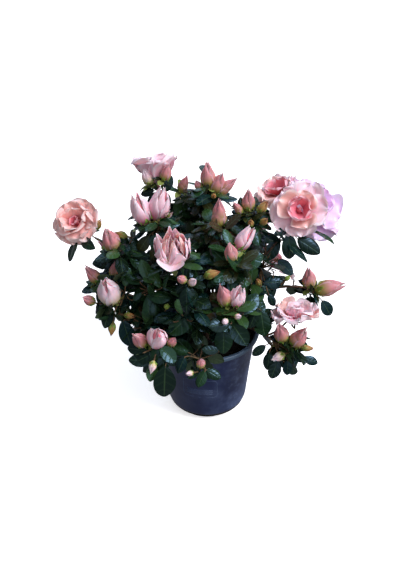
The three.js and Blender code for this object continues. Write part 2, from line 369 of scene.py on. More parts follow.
@dataclass
class Blades:
    """Leaves or petals of one form, with how each grows. Angles in radians, lengths in metres."""

    base: Array
    along: Array
    face: Array
    length: Array
    width: Array  # half width as a share of the length
    curl: Array  # how far the tip has bent away from the upper side
    cup: Array  # rise of the edges, as a share of the half width
    ruffle: Array  # height of the edge's waves, as a share of the length
    phase: Array
    twist: Array
    least_width: float = 0.014  # half width at foot and tip, as a share of the length
    straight: float = 1e-3  # a curl below this is taken as this
    margin: float = 1.6  # power of the share across that keeps the waves to the edges
    waves: tuple[float, float] = (8.0, 15.0)  # radians along a blade, coarse and fine
    fine_share: float = 0.22  # height of the fine waves beside the coarse
    lag: float = 1.9  # radians between the waves of the two edges
    tip_folds: float = 2.4  # half turns of the folds across the tip
    fold_share: float = 0.7  # height of those folds beside the edge's waves
    steps: tuple[float, float] = (2.3, 1.7)  # keep fine waves and folds out of step with the coarse

    def points(self, form: BladeForm) -> Array:
        """The vertices of all the blades.

        The midrib is an arc of constant curvature. The half width along it is a power of the sine
        of a power of the share along. Across, the blade lifts with the square of the share across,
        waves along its edges and folds towards its tip with the fourth power of the share along,
        and the section turns steadily along the midrib.

        Args:
            form: Their common plan.

        Returns:
            Vertices, (blades, rings, around, 3).
        """
        s = form.along()[None, :, None]
        t, side = (a[None, None, :] for a in form.ring())
        width, length, curl, cup, ruffle = per_copy(self.width, self.length, self.curl, self.cup, self.ruffle)
        phase, twist = per_copy(self.phase, self.twist)
        bend = np.where(np.abs(curl) < self.straight, self.straight, curl)
        forward, rise = np.sin(bend * s) / bend, -(1 - np.cos(bend * s)) / bend
        half = width * np.sin(np.pi * s**form.shoulder) ** form.fullness + self.least_width
        edge = np.abs(t) ** self.margin * s
        coarse, fine = self.waves
        waves = np.sin(coarse * s + phase + np.where(t > 0, self.lag, 0))
        waves = waves + self.fine_share * np.sin(fine * s + self.steps[0] * phase)
        folds = s**4 * np.cos(self.tip_folds * np.pi * t + self.steps[1] * phase)
        lift = cup * half * t**2 + ruffle * (edge * waves + self.fold_share * folds)
        lift = lift + side * form.thickness / 2 / length
        turn = twist * s
        across = half * t * np.cos(turn) - lift * np.sin(turn)
        lift = half * t * np.sin(turn) + lift * np.cos(turn)
        outward = forward + lift * np.sin(bend * s)
        upward = rise + lift * np.cos(bend * s)
        face, beside = across_frame(self.along, self.face)
        local = np.stack([outward, np.broadcast_to(across, outward.shape), upward], -1) * length[..., None]
        return set_out(self.base, local, (self.along, beside, face))


@dataclass
class Wraps:
    """Petals or scales that wrap a bud. Angles in radians, lengths in metres."""

    base: Array
    axis: Array
    turn: Array  # where round the axis the middle of the petal lies
    length: Array
    openness: Array  # 0 furled to a point, 1 an open cup
    wave: Array  # height of the rim's waves, as a share of the radius
    radius: float
    span: float  # half the angle that each wraps
    twist: float
    lift: float  # how far its leading edge stands off, as a share of the radius
    rounding: float  # how far its sides stop short of its tip, as a share of the length
    furled_from: float = 0.05  # where in its half turn the furled profile starts
    furled_skew: float = 0.84  # under one, its widest place is below its middle
    furled_power: tuple[float, float] = (0.75, 0.45)  # of its sine at the foot, and more by the tip
    furled_least: float = 0.03  # its least radius, as a share of the radius
    cup_foot: float = 0.28  # radius of the open profile at the foot, as a share of the radius
    cup_rise: float = 0.74  # what it gains by the rim
    cup_full: float = 1.15  # above one, it has gained it before the rim
    rim_waves: float = 3.1  # radians of the rim's waves on each half of a petal
    rim_shift: float = 5.0  # radians that they shift by for each radian between petals
    narrowing: float = 0.35  # share of its span that a petal loses by its tip

    def points(self, form: BladeForm) -> Array:
        """The vertices of all the wraps.

        Each is a patch of a turned surface. The furled profile is a power of a sine that closes at
        the tip, the open one a quarter sine that stays wide, and openness mixes the two. One edge
        stands off more than the other, the rim waves with the cube of the share along, and the
        sides stop short of the tip with the square of the share across.

        Args:
            form: Their rings, faces across and thickness.

        Returns:
            Vertices, (wraps, rings, around, 3).
        """
        s = form.along()[None, :, None]
        t, side = (a[None, None, :] for a in form.ring())
        turn, length, openness, wave = per_copy(self.turn, self.length, self.openness, self.wave)
        power, gain = self.furled_power
        swell = (self.furled_from + (1 - self.furled_from) * s) ** self.furled_skew
        furled = np.sin(np.pi * swell) ** (power + gain * s)
        cup = self.cup_foot + self.cup_rise * np.sin(0.5 * np.pi * np.minimum(self.cup_full * s, 1.0))
        rim = s**3 * np.sin(self.rim_waves * t + self.rim_shift * turn) * wave
        profile = (1 - openness) * np.maximum(furled, self.furled_least) + openness * cup
        profile = profile + self.lift * (0.5 + 0.5 * t) * np.sqrt(s) + rim
        reach = self.radius * profile + side * form.thickness / 2
        angle = turn + self.span * t * (1 - self.narrowing * s**3) + self.twist * s
        height = length * s * (1 - self.rounding * t**2 * s**2)
        first, second = side_axes(self.axis)
        local = np.stack([reach * np.cos(angle), -reach * np.sin(angle), height + 0 * reach], -1)
        return set_out(self.base, local, (first, second, self.axis))


@dataclass
class Limbs:
    """Tapering limbs along quadratic curves, in metres."""

    start: Array
    knee: Array
    end: Array
    foot: Array  # radius where it starts
    tip: Array
    stretch: Triple = (1.0, 1.0, 0.4)  # lengthens the bark's relief along Z

    def middle(self, s: Array) -> Array:
        """Points on the middle lines at shares (n, m) of their length, as (n, m, 3)."""
        s = s[..., None]
        start, knee, end = self.start[:, None], self.knee[:, None], self.end[:, None]
        return (1 - s) ** 2 * start + 2 * s * (1 - s) * knee + s**2 * end

    def points(self, lattice: Lattice, relief: float = 0.0, grain: float = 6 * MM) -> Array:
        """The vertices of all the limbs.

        The middle at share s is (1-s)^2 start + 2s(1-s) knee + s^2 end, and the radius runs evenly
        from foot to tip, times one plus the relief's noise, which is stretched along Z.

        Args:
            lattice: Their rings and places round them.
            relief: Height of the bark's relief, as a share of the radius.
            grain: Its wavelength in metres.

        Returns:
            Vertices, (limbs, rings, around, 3).
        """
        shares = np.broadcast_to(np.linspace(0, 1, lattice.rings), (len(self.start), lattice.rings))
        s = shares[..., None]
        middle = self.middle(shares)[:, :, None]
        tangent = unit((1 - s) * (self.knee - self.start)[:, None] + s * (self.end - self.knee)[:, None])
        guide = side_axes(unit(self.end - self.start))[0][:, None]
        first = unit(guide - (guide * tangent).sum(-1, keepdims=True) * tangent)
        second = np.cross(tangent, first)
        turn = (2 * np.pi * np.arange(lattice.around) / lattice.around)[:, None]
        outward = np.cos(turn) * first[:, :, None] - np.sin(turn) * second[:, :, None]
        radius = (self.foot[:, None, None] * (1 - s) + self.tip[:, None, None] * s)[..., None]
        bump = ripple((middle + radius * outward) * self.stretch, grain, SEED)[..., None]
        return middle + radius * (1 + relief * bump) * outward


def turned(profile: Array, around: int) -> Array:
    """A turned surface from radii and heights.

    Args:
        profile: Radii and heights from the start of the profile to its end, (rings, 2).
        around: Places round each ring.

    Returns:
        One copy's vertices, (1, rings, around, 3), with rings clockwise as seen from above.
    """
    turn = 2 * np.pi * np.arange(around) / around
    radius, height = profile[:, :1], profile[:, 1:]
    return np.stack([radius * np.cos(turn), -radius * np.sin(turn), height + 0 * turn], -1)[None]


# ------------------ finishes
def linear(code: str) -> tuple[float, float, float, float]:
    """An sRGB hex colour as linear red, green and blue, with a full alpha."""
    parts = [int(code[i : i + 2], 16) / 255 for i in (1, 3, 5)]
    flat = [c / 12.92 if c <= 0.04045 else ((c + 0.055) / 1.055) ** 2.4 for c in parts]
    return (*flat, 1.0)


def add_node(tree: bpy.types.NodeTree, kind: str, settings: dict, links: dict) -> bpy.types.Node:
    """Adds a node with its settings and links.

    Args:
        tree: The node tree.
        kind: The node's type name.
        settings: Its attributes by name, and its input values by index, or by "in:" and a name.
        links: The sockets that feed its inputs, by the input's index or name.

    Returns:
        The new node.
    """
    node = tree.nodes.new(kind)
    for key, value in settings.items():
        if isinstance(key, int):
            node.inputs[key].default_value = value
        elif key.startswith("in:"):
            node.inputs[key[3:]].default_value = value
        else:
            setattr(node, key, value)
    for key, socket in links.items():
        tree.links.new(socket, node.inputs[key])
    return node


class Pattern:
    """A material being built: its tree, and the few operations that its pattern is worked out by."""

    def __init__(self, name: str) -> None:
        """Starts a material of that name with a Principled shader."""
        self.material = bpy.data.materials.new(name)
        self.material.use_nodes = True
        self.tree = self.material.node_tree
        self.shader = self.tree.nodes["Principled BSDF"]

    def add(self, kind: str, settings: dict, links: dict | None = None) -> bpy.types.Node:
        """Adds a node to this material."""
        return add_node(self.tree, kind, settings, links or {})

    def work(self, operation: str, *terms: object) -> Socket:
        """The result of a Math node whose terms are sockets or numbers."""
        numbers = {i: t for i, t in enumerate(terms) if isinstance(t, (int, float))}
        sockets = {i: t for i, t in enumerate(terms) if i not in numbers}
        return self.add("ShaderNodeMath", {"operation": operation, **numbers}, sockets).outputs[0]

    def fade(self, value: Socket, low: float, high: float) -> Socket:
        """A smooth step of a socket, from 0 at low to 1 at high."""
        settings = {"interpolation_type": "SMOOTHSTEP", 1: low, 2: high}
        return self.add("ShaderNodeMapRange", settings, {0: value}).outputs[0]

    def mix(self, share: object, first: object, second: object) -> Socket:
        """A mix of two colours, each a socket or an sRGB hex colour."""
        terms = {0: share, 6: first, 7: second}
        plain = {i: t for i, t in terms.items() if isinstance(t, (str, float))}
        values = {i: linear(t) if isinstance(t, str) else t for i, t in plain.items()}
        links = {i: t for i, t in terms.items() if i not in plain}
        return self.add("ShaderNodeMix", {"data_type": "RGBA", **values}, links).outputs[2]

    def steps(self, share: Socket, colours: tuple[str, ...]) -> Socket:
        """A ramp of plain steps, one colour for each tile."""
        node = self.add("ShaderNodeValToRGB", {}, {0: share})
        node.color_ramp.interpolation = "CONSTANT"
        for i, colour in enumerate(colours):
            elements = node.color_ramp.elements
            element = elements[i] if i < 2 else elements.new(i / len(colours))
            element.position = i / len(colours)
            element.color = linear(colour)
        return node.outputs[0]

    def place(self) -> Socket:
        """The object's own coordinates, in metres."""
        return self.add("ShaderNodeTexCoord", {}).outputs["Object"]

    def noise(self, size: float, detail: float = 4.0, roughness: float = 0.6) -> Socket:
        """Noise of that wavelength, in metres, on the object's own coordinates."""
        settings = {"in:Scale": 1 / size, "in:Detail": detail, "in:Roughness": roughness}
        return self.add("ShaderNodeTexNoise", settings, {"Vector": self.place()}).outputs[0]

    def relief(self, height: Socket, depth: float) -> None:
        """Feeds a height, times a depth in metres, to the shader's normal."""
        bump = self.add("ShaderNodeBump", {"in:Distance": depth, "in:Strength": 1.0}, {"Height": height})
        self.tree.links.new(bump.outputs[0], self.shader.inputs["Normal"])

    def shade(self, inputs: dict[str, object]) -> None:
        """Sets the shader's inputs by name, each to a socket, a number or an sRGB hex colour."""
        for name, value in inputs.items():
            socket = self.shader.inputs[name]
            if isinstance(value, Socket):
                self.tree.links.new(value, socket)
            else:
                socket.default_value = linear(value) if isinstance(value, str) else value


@dataclass(frozen=True)
class Tile:
    """Sockets that say where on a leaf or petal a point is."""

    tint: Socket
    across: Socket  # 0 on the midrib to 1 on an edge
    along: Socket
    under: Socket

    @staticmethod
    def read(pattern: Pattern) -> Tile:
        """Works them out from the piece's own map."""
        place = pattern.add("ShaderNodeUVMap", {"uv_map": MAP_NAME}).outputs[0]
        x, y = pattern.add("ShaderNodeSeparateXYZ", {}, {0: place}).outputs[:2]
        column, row = pattern.work("MULTIPLY", x, float(TINTS)), pattern.work("MULTIPLY", y, 2.0)
        keep = 1 - 2 * TILE_MARGIN
        inside = [
            pattern.work("DIVIDE", pattern.work("SUBTRACT", pattern.work("FRACT", a), TILE_MARGIN), keep)
            for a in (column, row)
        ]
        across = pattern.work("ABSOLUTE", pattern.work("MULTIPLY_ADD", inside[0], 2.0, -1.0))
        tint = pattern.work("DIVIDE", pattern.work("ADD", pattern.work("FLOOR", column), 0.5), float(TINTS))
        return Tile(tint, across, inside[1], pattern.work("GREATER_THAN", y, 0.5))


class LeafTint(IntEnum):
    """Tiles of the leaf's colour map."""

    BOTTLE = 0
    DEEP = 1
    BLUISH = 2
    MID = 3
    OLIVE = 4
    BRONZE = 5
    FRESH = 6
    YOUNG = 7


# By height: the darker, bluer tints low down are partly painted shade and painted sky sheen, and the lighter
# olive and bronze high up partly painted light on the top of the crown.
LEAF_TINTS = {  # colour, and share of the shoots that have it low down and high up
    LeafTint.BOTTLE: ("#101f12", 0.34, 0.16),
    LeafTint.DEEP: ("#162b18", 0.26, 0.22),
    LeafTint.BLUISH: ("#0c2321", 0.28, 0.16),
    LeafTint.MID: ("#1c361c", 0.12, 0.22),
    LeafTint.OLIVE: ("#2b2e17", 0.0, 0.14),
    LeafTint.BRONZE: ("#322a19", 0.0, 0.05),
    LeafTint.FRESH: ("#2c4723", 0.0, 0.05),
    LeafTint.YOUNG: ("#7f8d4c", 0.0, 0.0),
}
LEAF_COLOURS, LOW_SHARES, HIGH_SHARES = zip(*LEAF_TINTS.values())


@dataclass(frozen=True)
class WaxedLeaf:
    """Evergreen azalea leaf: a waxed, leathery upper side over a dull, paler underside.

    The wax gives broad soft reflections of the sky, which the sunk midrib and veins break up; they are
    painted blue for the sky's colour.
    """

    tints: tuple[str, ...] = LEAF_COLOURS
    underside: str = "#4f6140"
    vein: str = "#4d6840"
    painted_sky_blue: str = "#a3cdf2"  # blue painted into the reflections, standing for the sky's colour
    roughness: float = 0.22
    dullness: float = 0.3  # how much rougher the underside is
    underside_share: float = 0.55  # of its own colour in the underside's
    midrib_width: float = 0.12  # as a share of the half width
    midrib_paleness: float = 0.34
    vein_paleness: float = 0.06
    vein_rate: float = 17.0  # radians of the side veins along the leaf
    vein_slant: float = 0.16  # how far along they run by the edge
    sunk: float = 0.25 * MM  # depth of the midrib

    def material(self) -> bpy.types.Material:
        """Builds the finish."""
        pattern = Pattern("waxed_leaf")
        tile = Tile.read(pattern)
        body = pattern.steps(tile.tint, self.tints)
        midrib = pattern.work("SUBTRACT", 1.0, pattern.fade(tile.across, 0.0, self.midrib_width))
        slant = pattern.work("MULTIPLY_ADD", tile.across, -self.vein_slant, tile.along)
        wave = pattern.work("ABSOLUTE", pattern.work("SINE", pattern.work("MULTIPLY", slant, self.vein_rate)))
        veins = pattern.work("SUBTRACT", 1.0, pattern.fade(wave, 0.0, 0.6))
        pale_midrib = pattern.work("MULTIPLY", midrib, self.midrib_paleness)
        pale_veins = pattern.work("MULTIPLY", veins, self.vein_paleness)
        lit = pattern.mix(pattern.work("MAXIMUM", pale_midrib, pale_veins), body, self.vein)
        dull = pattern.mix(self.underside_share, body, self.underside)
        roughness = pattern.work("MULTIPLY_ADD", tile.under, self.dullness, self.roughness)
        pattern.shade({"Base Color": pattern.mix(tile.under, lit, dull), "Roughness": roughness})
        # Painted reflection: the reflections are tinted blue for the sky.
        pattern.shade({"IOR": 1.45, "Specular Tint": self.painted_sky_blue})
        grooves = pattern.work("MULTIPLY_ADD", veins, 0.6, midrib)
        pattern.relief(pattern.work("MULTIPLY", grooves, -1.0), self.sunk)
        return pattern.material


class PetalTint(IntEnum):
    """Tiles of the blossom's colour map."""

    SALMON = 0
    PALE = 1
    BUD = 2
    LILAC = 3
    SEPAL = 4
    SCALE = 5
    THROAT = 6
    CREAM = 7


PETAL_COLOURS = {  # at a petal's foot, in its body, and at its tip and edges
    PetalTint.SALMON: ("#d4525e", "#f5b7b3", "#fcdeda"),
    PetalTint.PALE: ("#e07a96", "#f9cbd8", "#fce6ee"),
    PetalTint.BUD: ("#98963f", "#c98089", "#e2acb7"),
    PetalTint.LILAC: ("#cf84c6", "#ebc4ee", "#f6e0fb"),
    PetalTint.SEPAL: ("#5f7d34", "#7f9a44", "#95a552"),
    PetalTint.SCALE: ("#7c7c3c", "#a27c48", "#a8674e"),
    PetalTint.THROAT: ("#c43454", "#e27c8c", "#f7c0cc"),
    PetalTint.CREAM: ("#bdb86e", "#f4c9d6", "#fbe8f2"),
}


@dataclass(frozen=True)
class PetalSkin:
    """Azalea petal: thin, soft, faintly frosted tissue that light passes a little way into."""

    name: str
    foot_from: float  # share along a petal up to which it has the foot's colour
    foot_to: float  # share along from which it has the body's
    tip_from: float = 0.62  # share along from which the tip's comes in
    edge_from: float = 0.72  # share across from which it comes in
    streaks: float = 19.0  # radians of the fine streaks from the midrib to an edge
    depth: float = 2 * MM  # how far light passes in

    def material(self) -> bpy.types.Material:
        """Builds the finish."""
        pattern = Pattern(self.name)
        tile = Tile.read(pattern)
        foot, body, tip = (pattern.steps(tile.tint, shades) for shades in zip(*PETAL_COLOURS.values()))
        streak = pattern.work("SINE", pattern.work("MULTIPLY", tile.across, self.streaks))
        shifted = pattern.work("MULTIPLY_ADD", streak, 0.02, tile.along)
        low = pattern.mix(pattern.fade(shifted, self.foot_from, self.foot_to), foot, body)
        near_tip = pattern.fade(shifted, self.tip_from, 1.0)
        near_edge = pattern.fade(tile.across, self.edge_from, 1.0)
        whole = pattern.mix(pattern.work("MAXIMUM", near_tip, near_edge), low, tip)
        vein = pattern.work("MULTIPLY", pattern.fade(streak, 0.4, 1.0), 0.06)
        pattern.shade({"Base Color": pattern.mix(vein, whole, foot), "Roughness": 0.55, "IOR": 1.4})
        pattern.shade({"Subsurface Weight": 0.4, "Subsurface Radius": (1.0, 0.45, 0.35)})
        pattern.shade({"Subsurface Scale": self.depth})
        pattern.relief(streak, 0.02 * MM)
        return pattern.material


@dataclass(frozen=True)
class AzaleaBark:
    """Azalea bark: thin, finely fissured and flaking; grey-brown on old wood, redder on young."""

    name: str
    pale: str
    dark: str
    flake: float = 3 * MM

    def material(self) -> bpy.types.Material:
        """Builds the finish."""
        pattern = Pattern(self.name)
        noise = pattern.noise(self.flake, 5.0, 0.65)
        colour = pattern.mix(pattern.fade(noise, 0.35, 0.68), self.dark, self.pale)
        pattern.shade({"Base Color": colour, "Roughness": 0.8, "IOR": 1.45})
        pattern.relief(noise, 0.4 * MM)
        return pattern.material


@dataclass(frozen=True)
class MouldedPolypropylene:
    """Pot plastic: thin injection-moulded polypropylene, satin and faintly wavy.

    It is scuffed in patches, and paler along the rim as a painted highlight. Towards +X it is paler in broad
    patches, partly painted light for the side that the light falls on and partly dust, and it is spotted with
    lime.
    """

    name: str
    colour: str
    rubbed_and_lit: str  # where scuffs, dust and lime make it pale, and where it is painted paler for the light towards +X
    rim_highlight: str  # the rim's painted highlight, for the light that its lip catches
    roughness: float
    rim_highlight_from: float = 99 * MM  # height from which the rim has its painted highlight
    rim_highlight_share: float = 0.8  # share of the painted highlight's colour there
    scuffed: float = 0.38  # how far each takes the colour towards the pale one
    dust_and_light: float = 0.26
    limed: float = 0.55

    def material(self) -> bpy.types.Material:
        """Builds the finish."""
        pattern = Pattern(self.name)
        broad, fine = pattern.noise(28 * MM, 3.0), pattern.noise(2.4 * MM, 6.0, 0.7)
        spots = pattern.noise(7 * MM, 7.0, 0.75)
        across, _, height = pattern.add("ShaderNodeSeparateXYZ", {}, {0: pattern.place()}).outputs
        # Painted light: paler in broad patches towards +X, the side that the light falls on, mixed with dust.
        lit_side = pattern.fade(across, -60 * MM, 40 * MM)
        limed_side = pattern.fade(across, 12 * MM, 46 * MM)
        scuffs = pattern.work("MULTIPLY", pattern.fade(broad, 0.5, 0.72), pattern.fade(fine, 0.5, 0.66))
        lit_dust = pattern.work("MULTIPLY", pattern.fade(broad, 0.36, 0.66), lit_side)
        lime = pattern.work("MULTIPLY", pattern.fade(spots, 0.52, 0.68), limed_side)
        share = pattern.work("MULTIPLY_ADD", lit_dust, self.dust_and_light, pattern.work("MULTIPLY", scuffs, self.scuffed))
        share = pattern.work("MULTIPLY_ADD", lime, self.limed, share)
        # Painted highlight: the rim is paler from this height up, standing for the light that its lip
        # catches.
        by_rim = pattern.fade(height, self.rim_highlight_from, self.rim_highlight_from + 3 * MM)
        rim = pattern.work("MULTIPLY", by_rim, self.rim_highlight_share)
        colour = pattern.mix(rim, pattern.mix(share, self.colour, self.rubbed_and_lit), self.rim_highlight)
        roughness = pattern.work("MULTIPLY_ADD", scuffs, 0.25, self.roughness)
        pattern.shade({"Base Color": colour, "Roughness": roughness, "IOR": 1.49})
        pattern.relief(broad, 0.5 * MM)
        return pattern.material


@dataclass(frozen=True)
class PeatCompost:
    """Potting compost: dark, fibrous, slightly damp peat with paler fibres."""

    dark: str = "#0b0807"
    pale: str = "#33261d"

    def material(self) -> bpy.types.Material:
        """Builds the finish."""
        pattern = Pattern("peat_compost")
        noise = pattern.noise(2.5 * MM, 6.0, 0.7)
        colour = pattern.mix(pattern.fade(noise, 0.48, 0.8), self.dark, self.pale)
        pattern.shade({"Base Color": colour, "Roughness": 0.9, "IOR": 1.4})
        pattern.relief(noise, 1.0 * MM)
        return pattern.material


# ------------------ the frame's sizes
@cache
def box_of(node: str) -> tuple[Array, Array]:
    """The middle and the half size of a node of the frame, in metres."""
    low, high = (np.array(corner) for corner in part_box(node))
    return (low + high) / 2, (high - low) / 2


def vertices_of(node: str) -> Array:
    """The vertices of a node of the frame, (n, 3), in metres."""
    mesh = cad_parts[node].data
    flat = np.empty(3 * len(mesh.vertices))
    mesh.vertices.foreach_get("co", flat)
    return flat.reshape(-1, 3)


# ------------------ pot and compost
@dataclass
class NurseryPot:
    """The round nursery pot, with a rolled rim, a raised underside, drain holes and foot notches.

    Radii and heights that the frame's box doesn't give are in millimetres.
    """

    rim_width: float = 4.0
    rim_depth: float = 5.0
    wall_top: float = 55.4
    wall_foot: float = 47.0
    shoulder: float = 10.0
    foot: float = 41.0
    wall: float = 1.5
    floor: float = 2.2
    recess: float = 2.4  # of the underside, between its middle pad and its foot ring
    foot_ring: float = 5.0
    pad: float = 14.0
    gate: float = 4.0  # radius at which the section starts and ends, inside the pad
    fillet: float = 1.4
    ring_step: float = 6.0  # between the rings of a long straight stretch
    notches: int = 8
    notch_width: float = 7.0
    notch_height: float = 1.9
    notch_blur: float = 1.2  # over which a notch's side falls
    notch_turn: float = math.radians(-72)
    drains: int = 6
    drain_radius: float = 3.6
    drain_circle: float = 26.0
    drain_turn: float = math.radians(18)
    drain_sides: int = 24
    around: int = 180
    waviness: float = 0.12  # of the thin wall
    wave_size: float = 70.0
    panel_turn: float = math.radians(-100)
    panel_height: float = 54.0
    ridge_steps: tuple[int, int] = (120, 6)  # along a ridge and round its section
    ridge_width: float = 0.45  # half of it
    ridge_lift: float = 0.22
    ridges: tuple[Triple, ...] = (  # half width, half height, lift of the middle
        (20, 14, 0),
        (15, 0.7, -2),
        (15, 0.7, -5),
        (15, 0.7, -8),
    )
    plastic: MouldedPolypropylene = MouldedPolypropylene(
        "moulded_polypropylene", colour="#11204a", rubbed_and_lit="#687ba2", rim_highlight="#50667c", roughness=0.36
    )
    raised: MouldedPolypropylene = MouldedPolypropylene(
        "rubbed_polypropylene", colour="#33456a", rubbed_and_lit="#8294b2", rim_highlight="#50667c", roughness=0.45
    )

    def profile(self) -> Array:
        """The section, from the middle of the underside round to the middle of the inner floor."""
        half = box_of("pot")[1]
        top, rim = 2 * half[2] / MM, half[0] / MM
        ring_inner = self.foot - self.foot_ring
        skirt = top - self.rim_depth
        underside = [[self.gate, 0], [self.pad, 0], [self.pad + 1.2, self.recess]]
        underside += [[ring_inner - 0.6, self.recess], [ring_inner, 0], [self.foot, 0]]
        outside = [[self.wall_foot, self.shoulder], [self.wall_top, skirt], [rim, skirt], [rim, top]]
        inside = [[rim - self.rim_width, top], [self.wall_top - self.wall, skirt - 2]]
        inside += [[self.wall_foot - self.wall, self.shoulder + 1]]
        inside += [[self.foot - self.wall, self.recess + self.floor], [self.gate, self.recess + self.floor]]
        corners = np.array(underside + outside + inside)
        rounded = filleted(corners, self.fillet)
        # Long stretches get rings in between, for the wall's waviness.
        steps = np.linalg.norm(np.diff(rounded, axis=0), axis=1)
        extra = np.maximum(1, np.round(steps / self.ring_step).astype(int))
        owner = np.repeat(np.arange(len(steps)), extra)
        share = (np.arange(len(owner)) - np.repeat(np.cumsum(extra) - extra, extra)) / extra[owner]
        between = rounded[owner] + share[:, None] * (rounded[owner + 1] - rounded[owner])
        return np.concatenate([between, rounded[-1:]])

    def shell(self) -> Array:
        """The pot's vertices: the section turned, its wall made wavy and its foot notched.

        A notch lifts the foot ring by a height that is a window of the angle round the pot, with
        sloping sides. The waves die out towards the floor and towards the rim.
        """
        points = turned(self.profile(), self.around)
        radius = np.linalg.norm(points[..., :2], axis=-1)
        height = points[..., 2]
        turn = np.arctan2(points[..., 1], points[..., 0])
        pitch = 2 * np.pi / self.notches
        off = np.abs((turn - self.notch_turn + pitch / 2) % pitch - pitch / 2) * self.foot
        window = np.clip((self.notch_width / 2 - off) / self.notch_blur + 0.5, 0, 1)
        in_ring = (radius > self.foot - self.foot_ring - 0.8) & (height < self.notch_height)
        lifted = np.where(in_ring, np.maximum(height, self.notch_height * window), height)
        thin = np.clip((height - 3) / 20, 0, 1) * np.clip((100 - height) / 10, 0, 1)
        waves = ripple(points, self.wave_size, SEED + 1, 2)
        swell = 1 + self.waviness * thin * waves / np.maximum(radius, 1)
        return np.stack([points[..., 0] * swell, points[..., 1] * swell, lifted], -1) * MM

    def drill(self, pot: bpy.types.Object) -> None:
        """Cuts the drain holes through the floor."""
        turn = self.drain_turn + 2 * np.pi * np.arange(self.drains) / self.drains
        place = np.stack([np.cos(turn), np.sin(turn), 0 * turn], -1) * self.drain_circle * MM
        radius = np.full(self.drains, self.drain_radius * MM)
        cutters = Limbs(place - UP * 3 * MM, place, place + UP * 9 * MM, radius, radius)
        lattice = Lattice(2, self.drain_sides)
        drill = Growth("drill")
        drill.add(cutters.points(lattice), lattice)
        tool = drill.build(pot.data.materials[0], "pot", [])
        cut = pot.modifiers.new("drain_holes", "BOOLEAN")
        cut.object, cut.solver = tool, "EXACT"
        evaluated = pot.evaluated_get(bpy.context.evaluated_depsgraph_get())
        pot.data = bpy.data.meshes.new_from_object(evaluated)
        pot.modifiers.clear()
        bpy.data.objects.remove(tool)

    def ridge(self, half_width: float, half_height: float, lift: float) -> Array:
        """A raised line on the wall, closed round a rounded rectangle.

        The line follows |x/a|^8 + |y/b|^8 = 1 on the cone of the wall, so its x and y are a cosine
        and a sine to the power of a quarter. Its section is a low ring, half sunk in the wall.

        Args:
            half_width: Half the rectangle's width along the wall.
            half_height: Half its height up the wall.
            lift: The middle's height above the panel's middle.

        Returns:
            Vertices, (1, rings, around, 3).
        """
        along, around = self.ridge_steps
        s = 2 * np.pi * np.arange(along)[:, None] / along
        c = 2 * np.pi * np.arange(around)[None, :] / around
        x = half_width * np.sign(np.cos(s)) * np.abs(np.cos(s)) ** 0.25
        y = half_height * np.sign(np.sin(s)) * np.abs(np.sin(s)) ** 0.25
        outward = unit(np.concatenate([x / half_width**2, y / half_height**2], 1))
        x = x + self.ridge_width * np.cos(c) * outward[:, :1]
        height = self.panel_height + lift + y + self.ridge_width * np.cos(c) * outward[:, 1:]
        slope = (self.wall_top - self.wall_foot) / (100 - self.shoulder)
        wall = self.wall_foot + slope * (height - self.shoulder)
        turn = self.panel_turn + x / wall
        radius = wall + self.ridge_lift * np.sin(c)
        return np.stack([radius * np.cos(turn), radius * np.sin(turn), height], -1)[None] * MM

    def build(self) -> None:
        """Makes the pot and the bare raised panel on its wall."""
        finish = self.plastic.material()
        points = self.shell()
        body = Growth("nursery_pot")
        body.add(points, Lattice(points.shape[1], self.around))
        self.drill(body.build(finish, "pot", ["pot"]))
        panel = Growth("pot_panel_ridges")
        for ridge in self.ridges:
            panel.add(self.ridge(*ridge), Lattice(*self.ridge_steps, looped=True))
        panel.build(self.raised.material(), "pot", [])


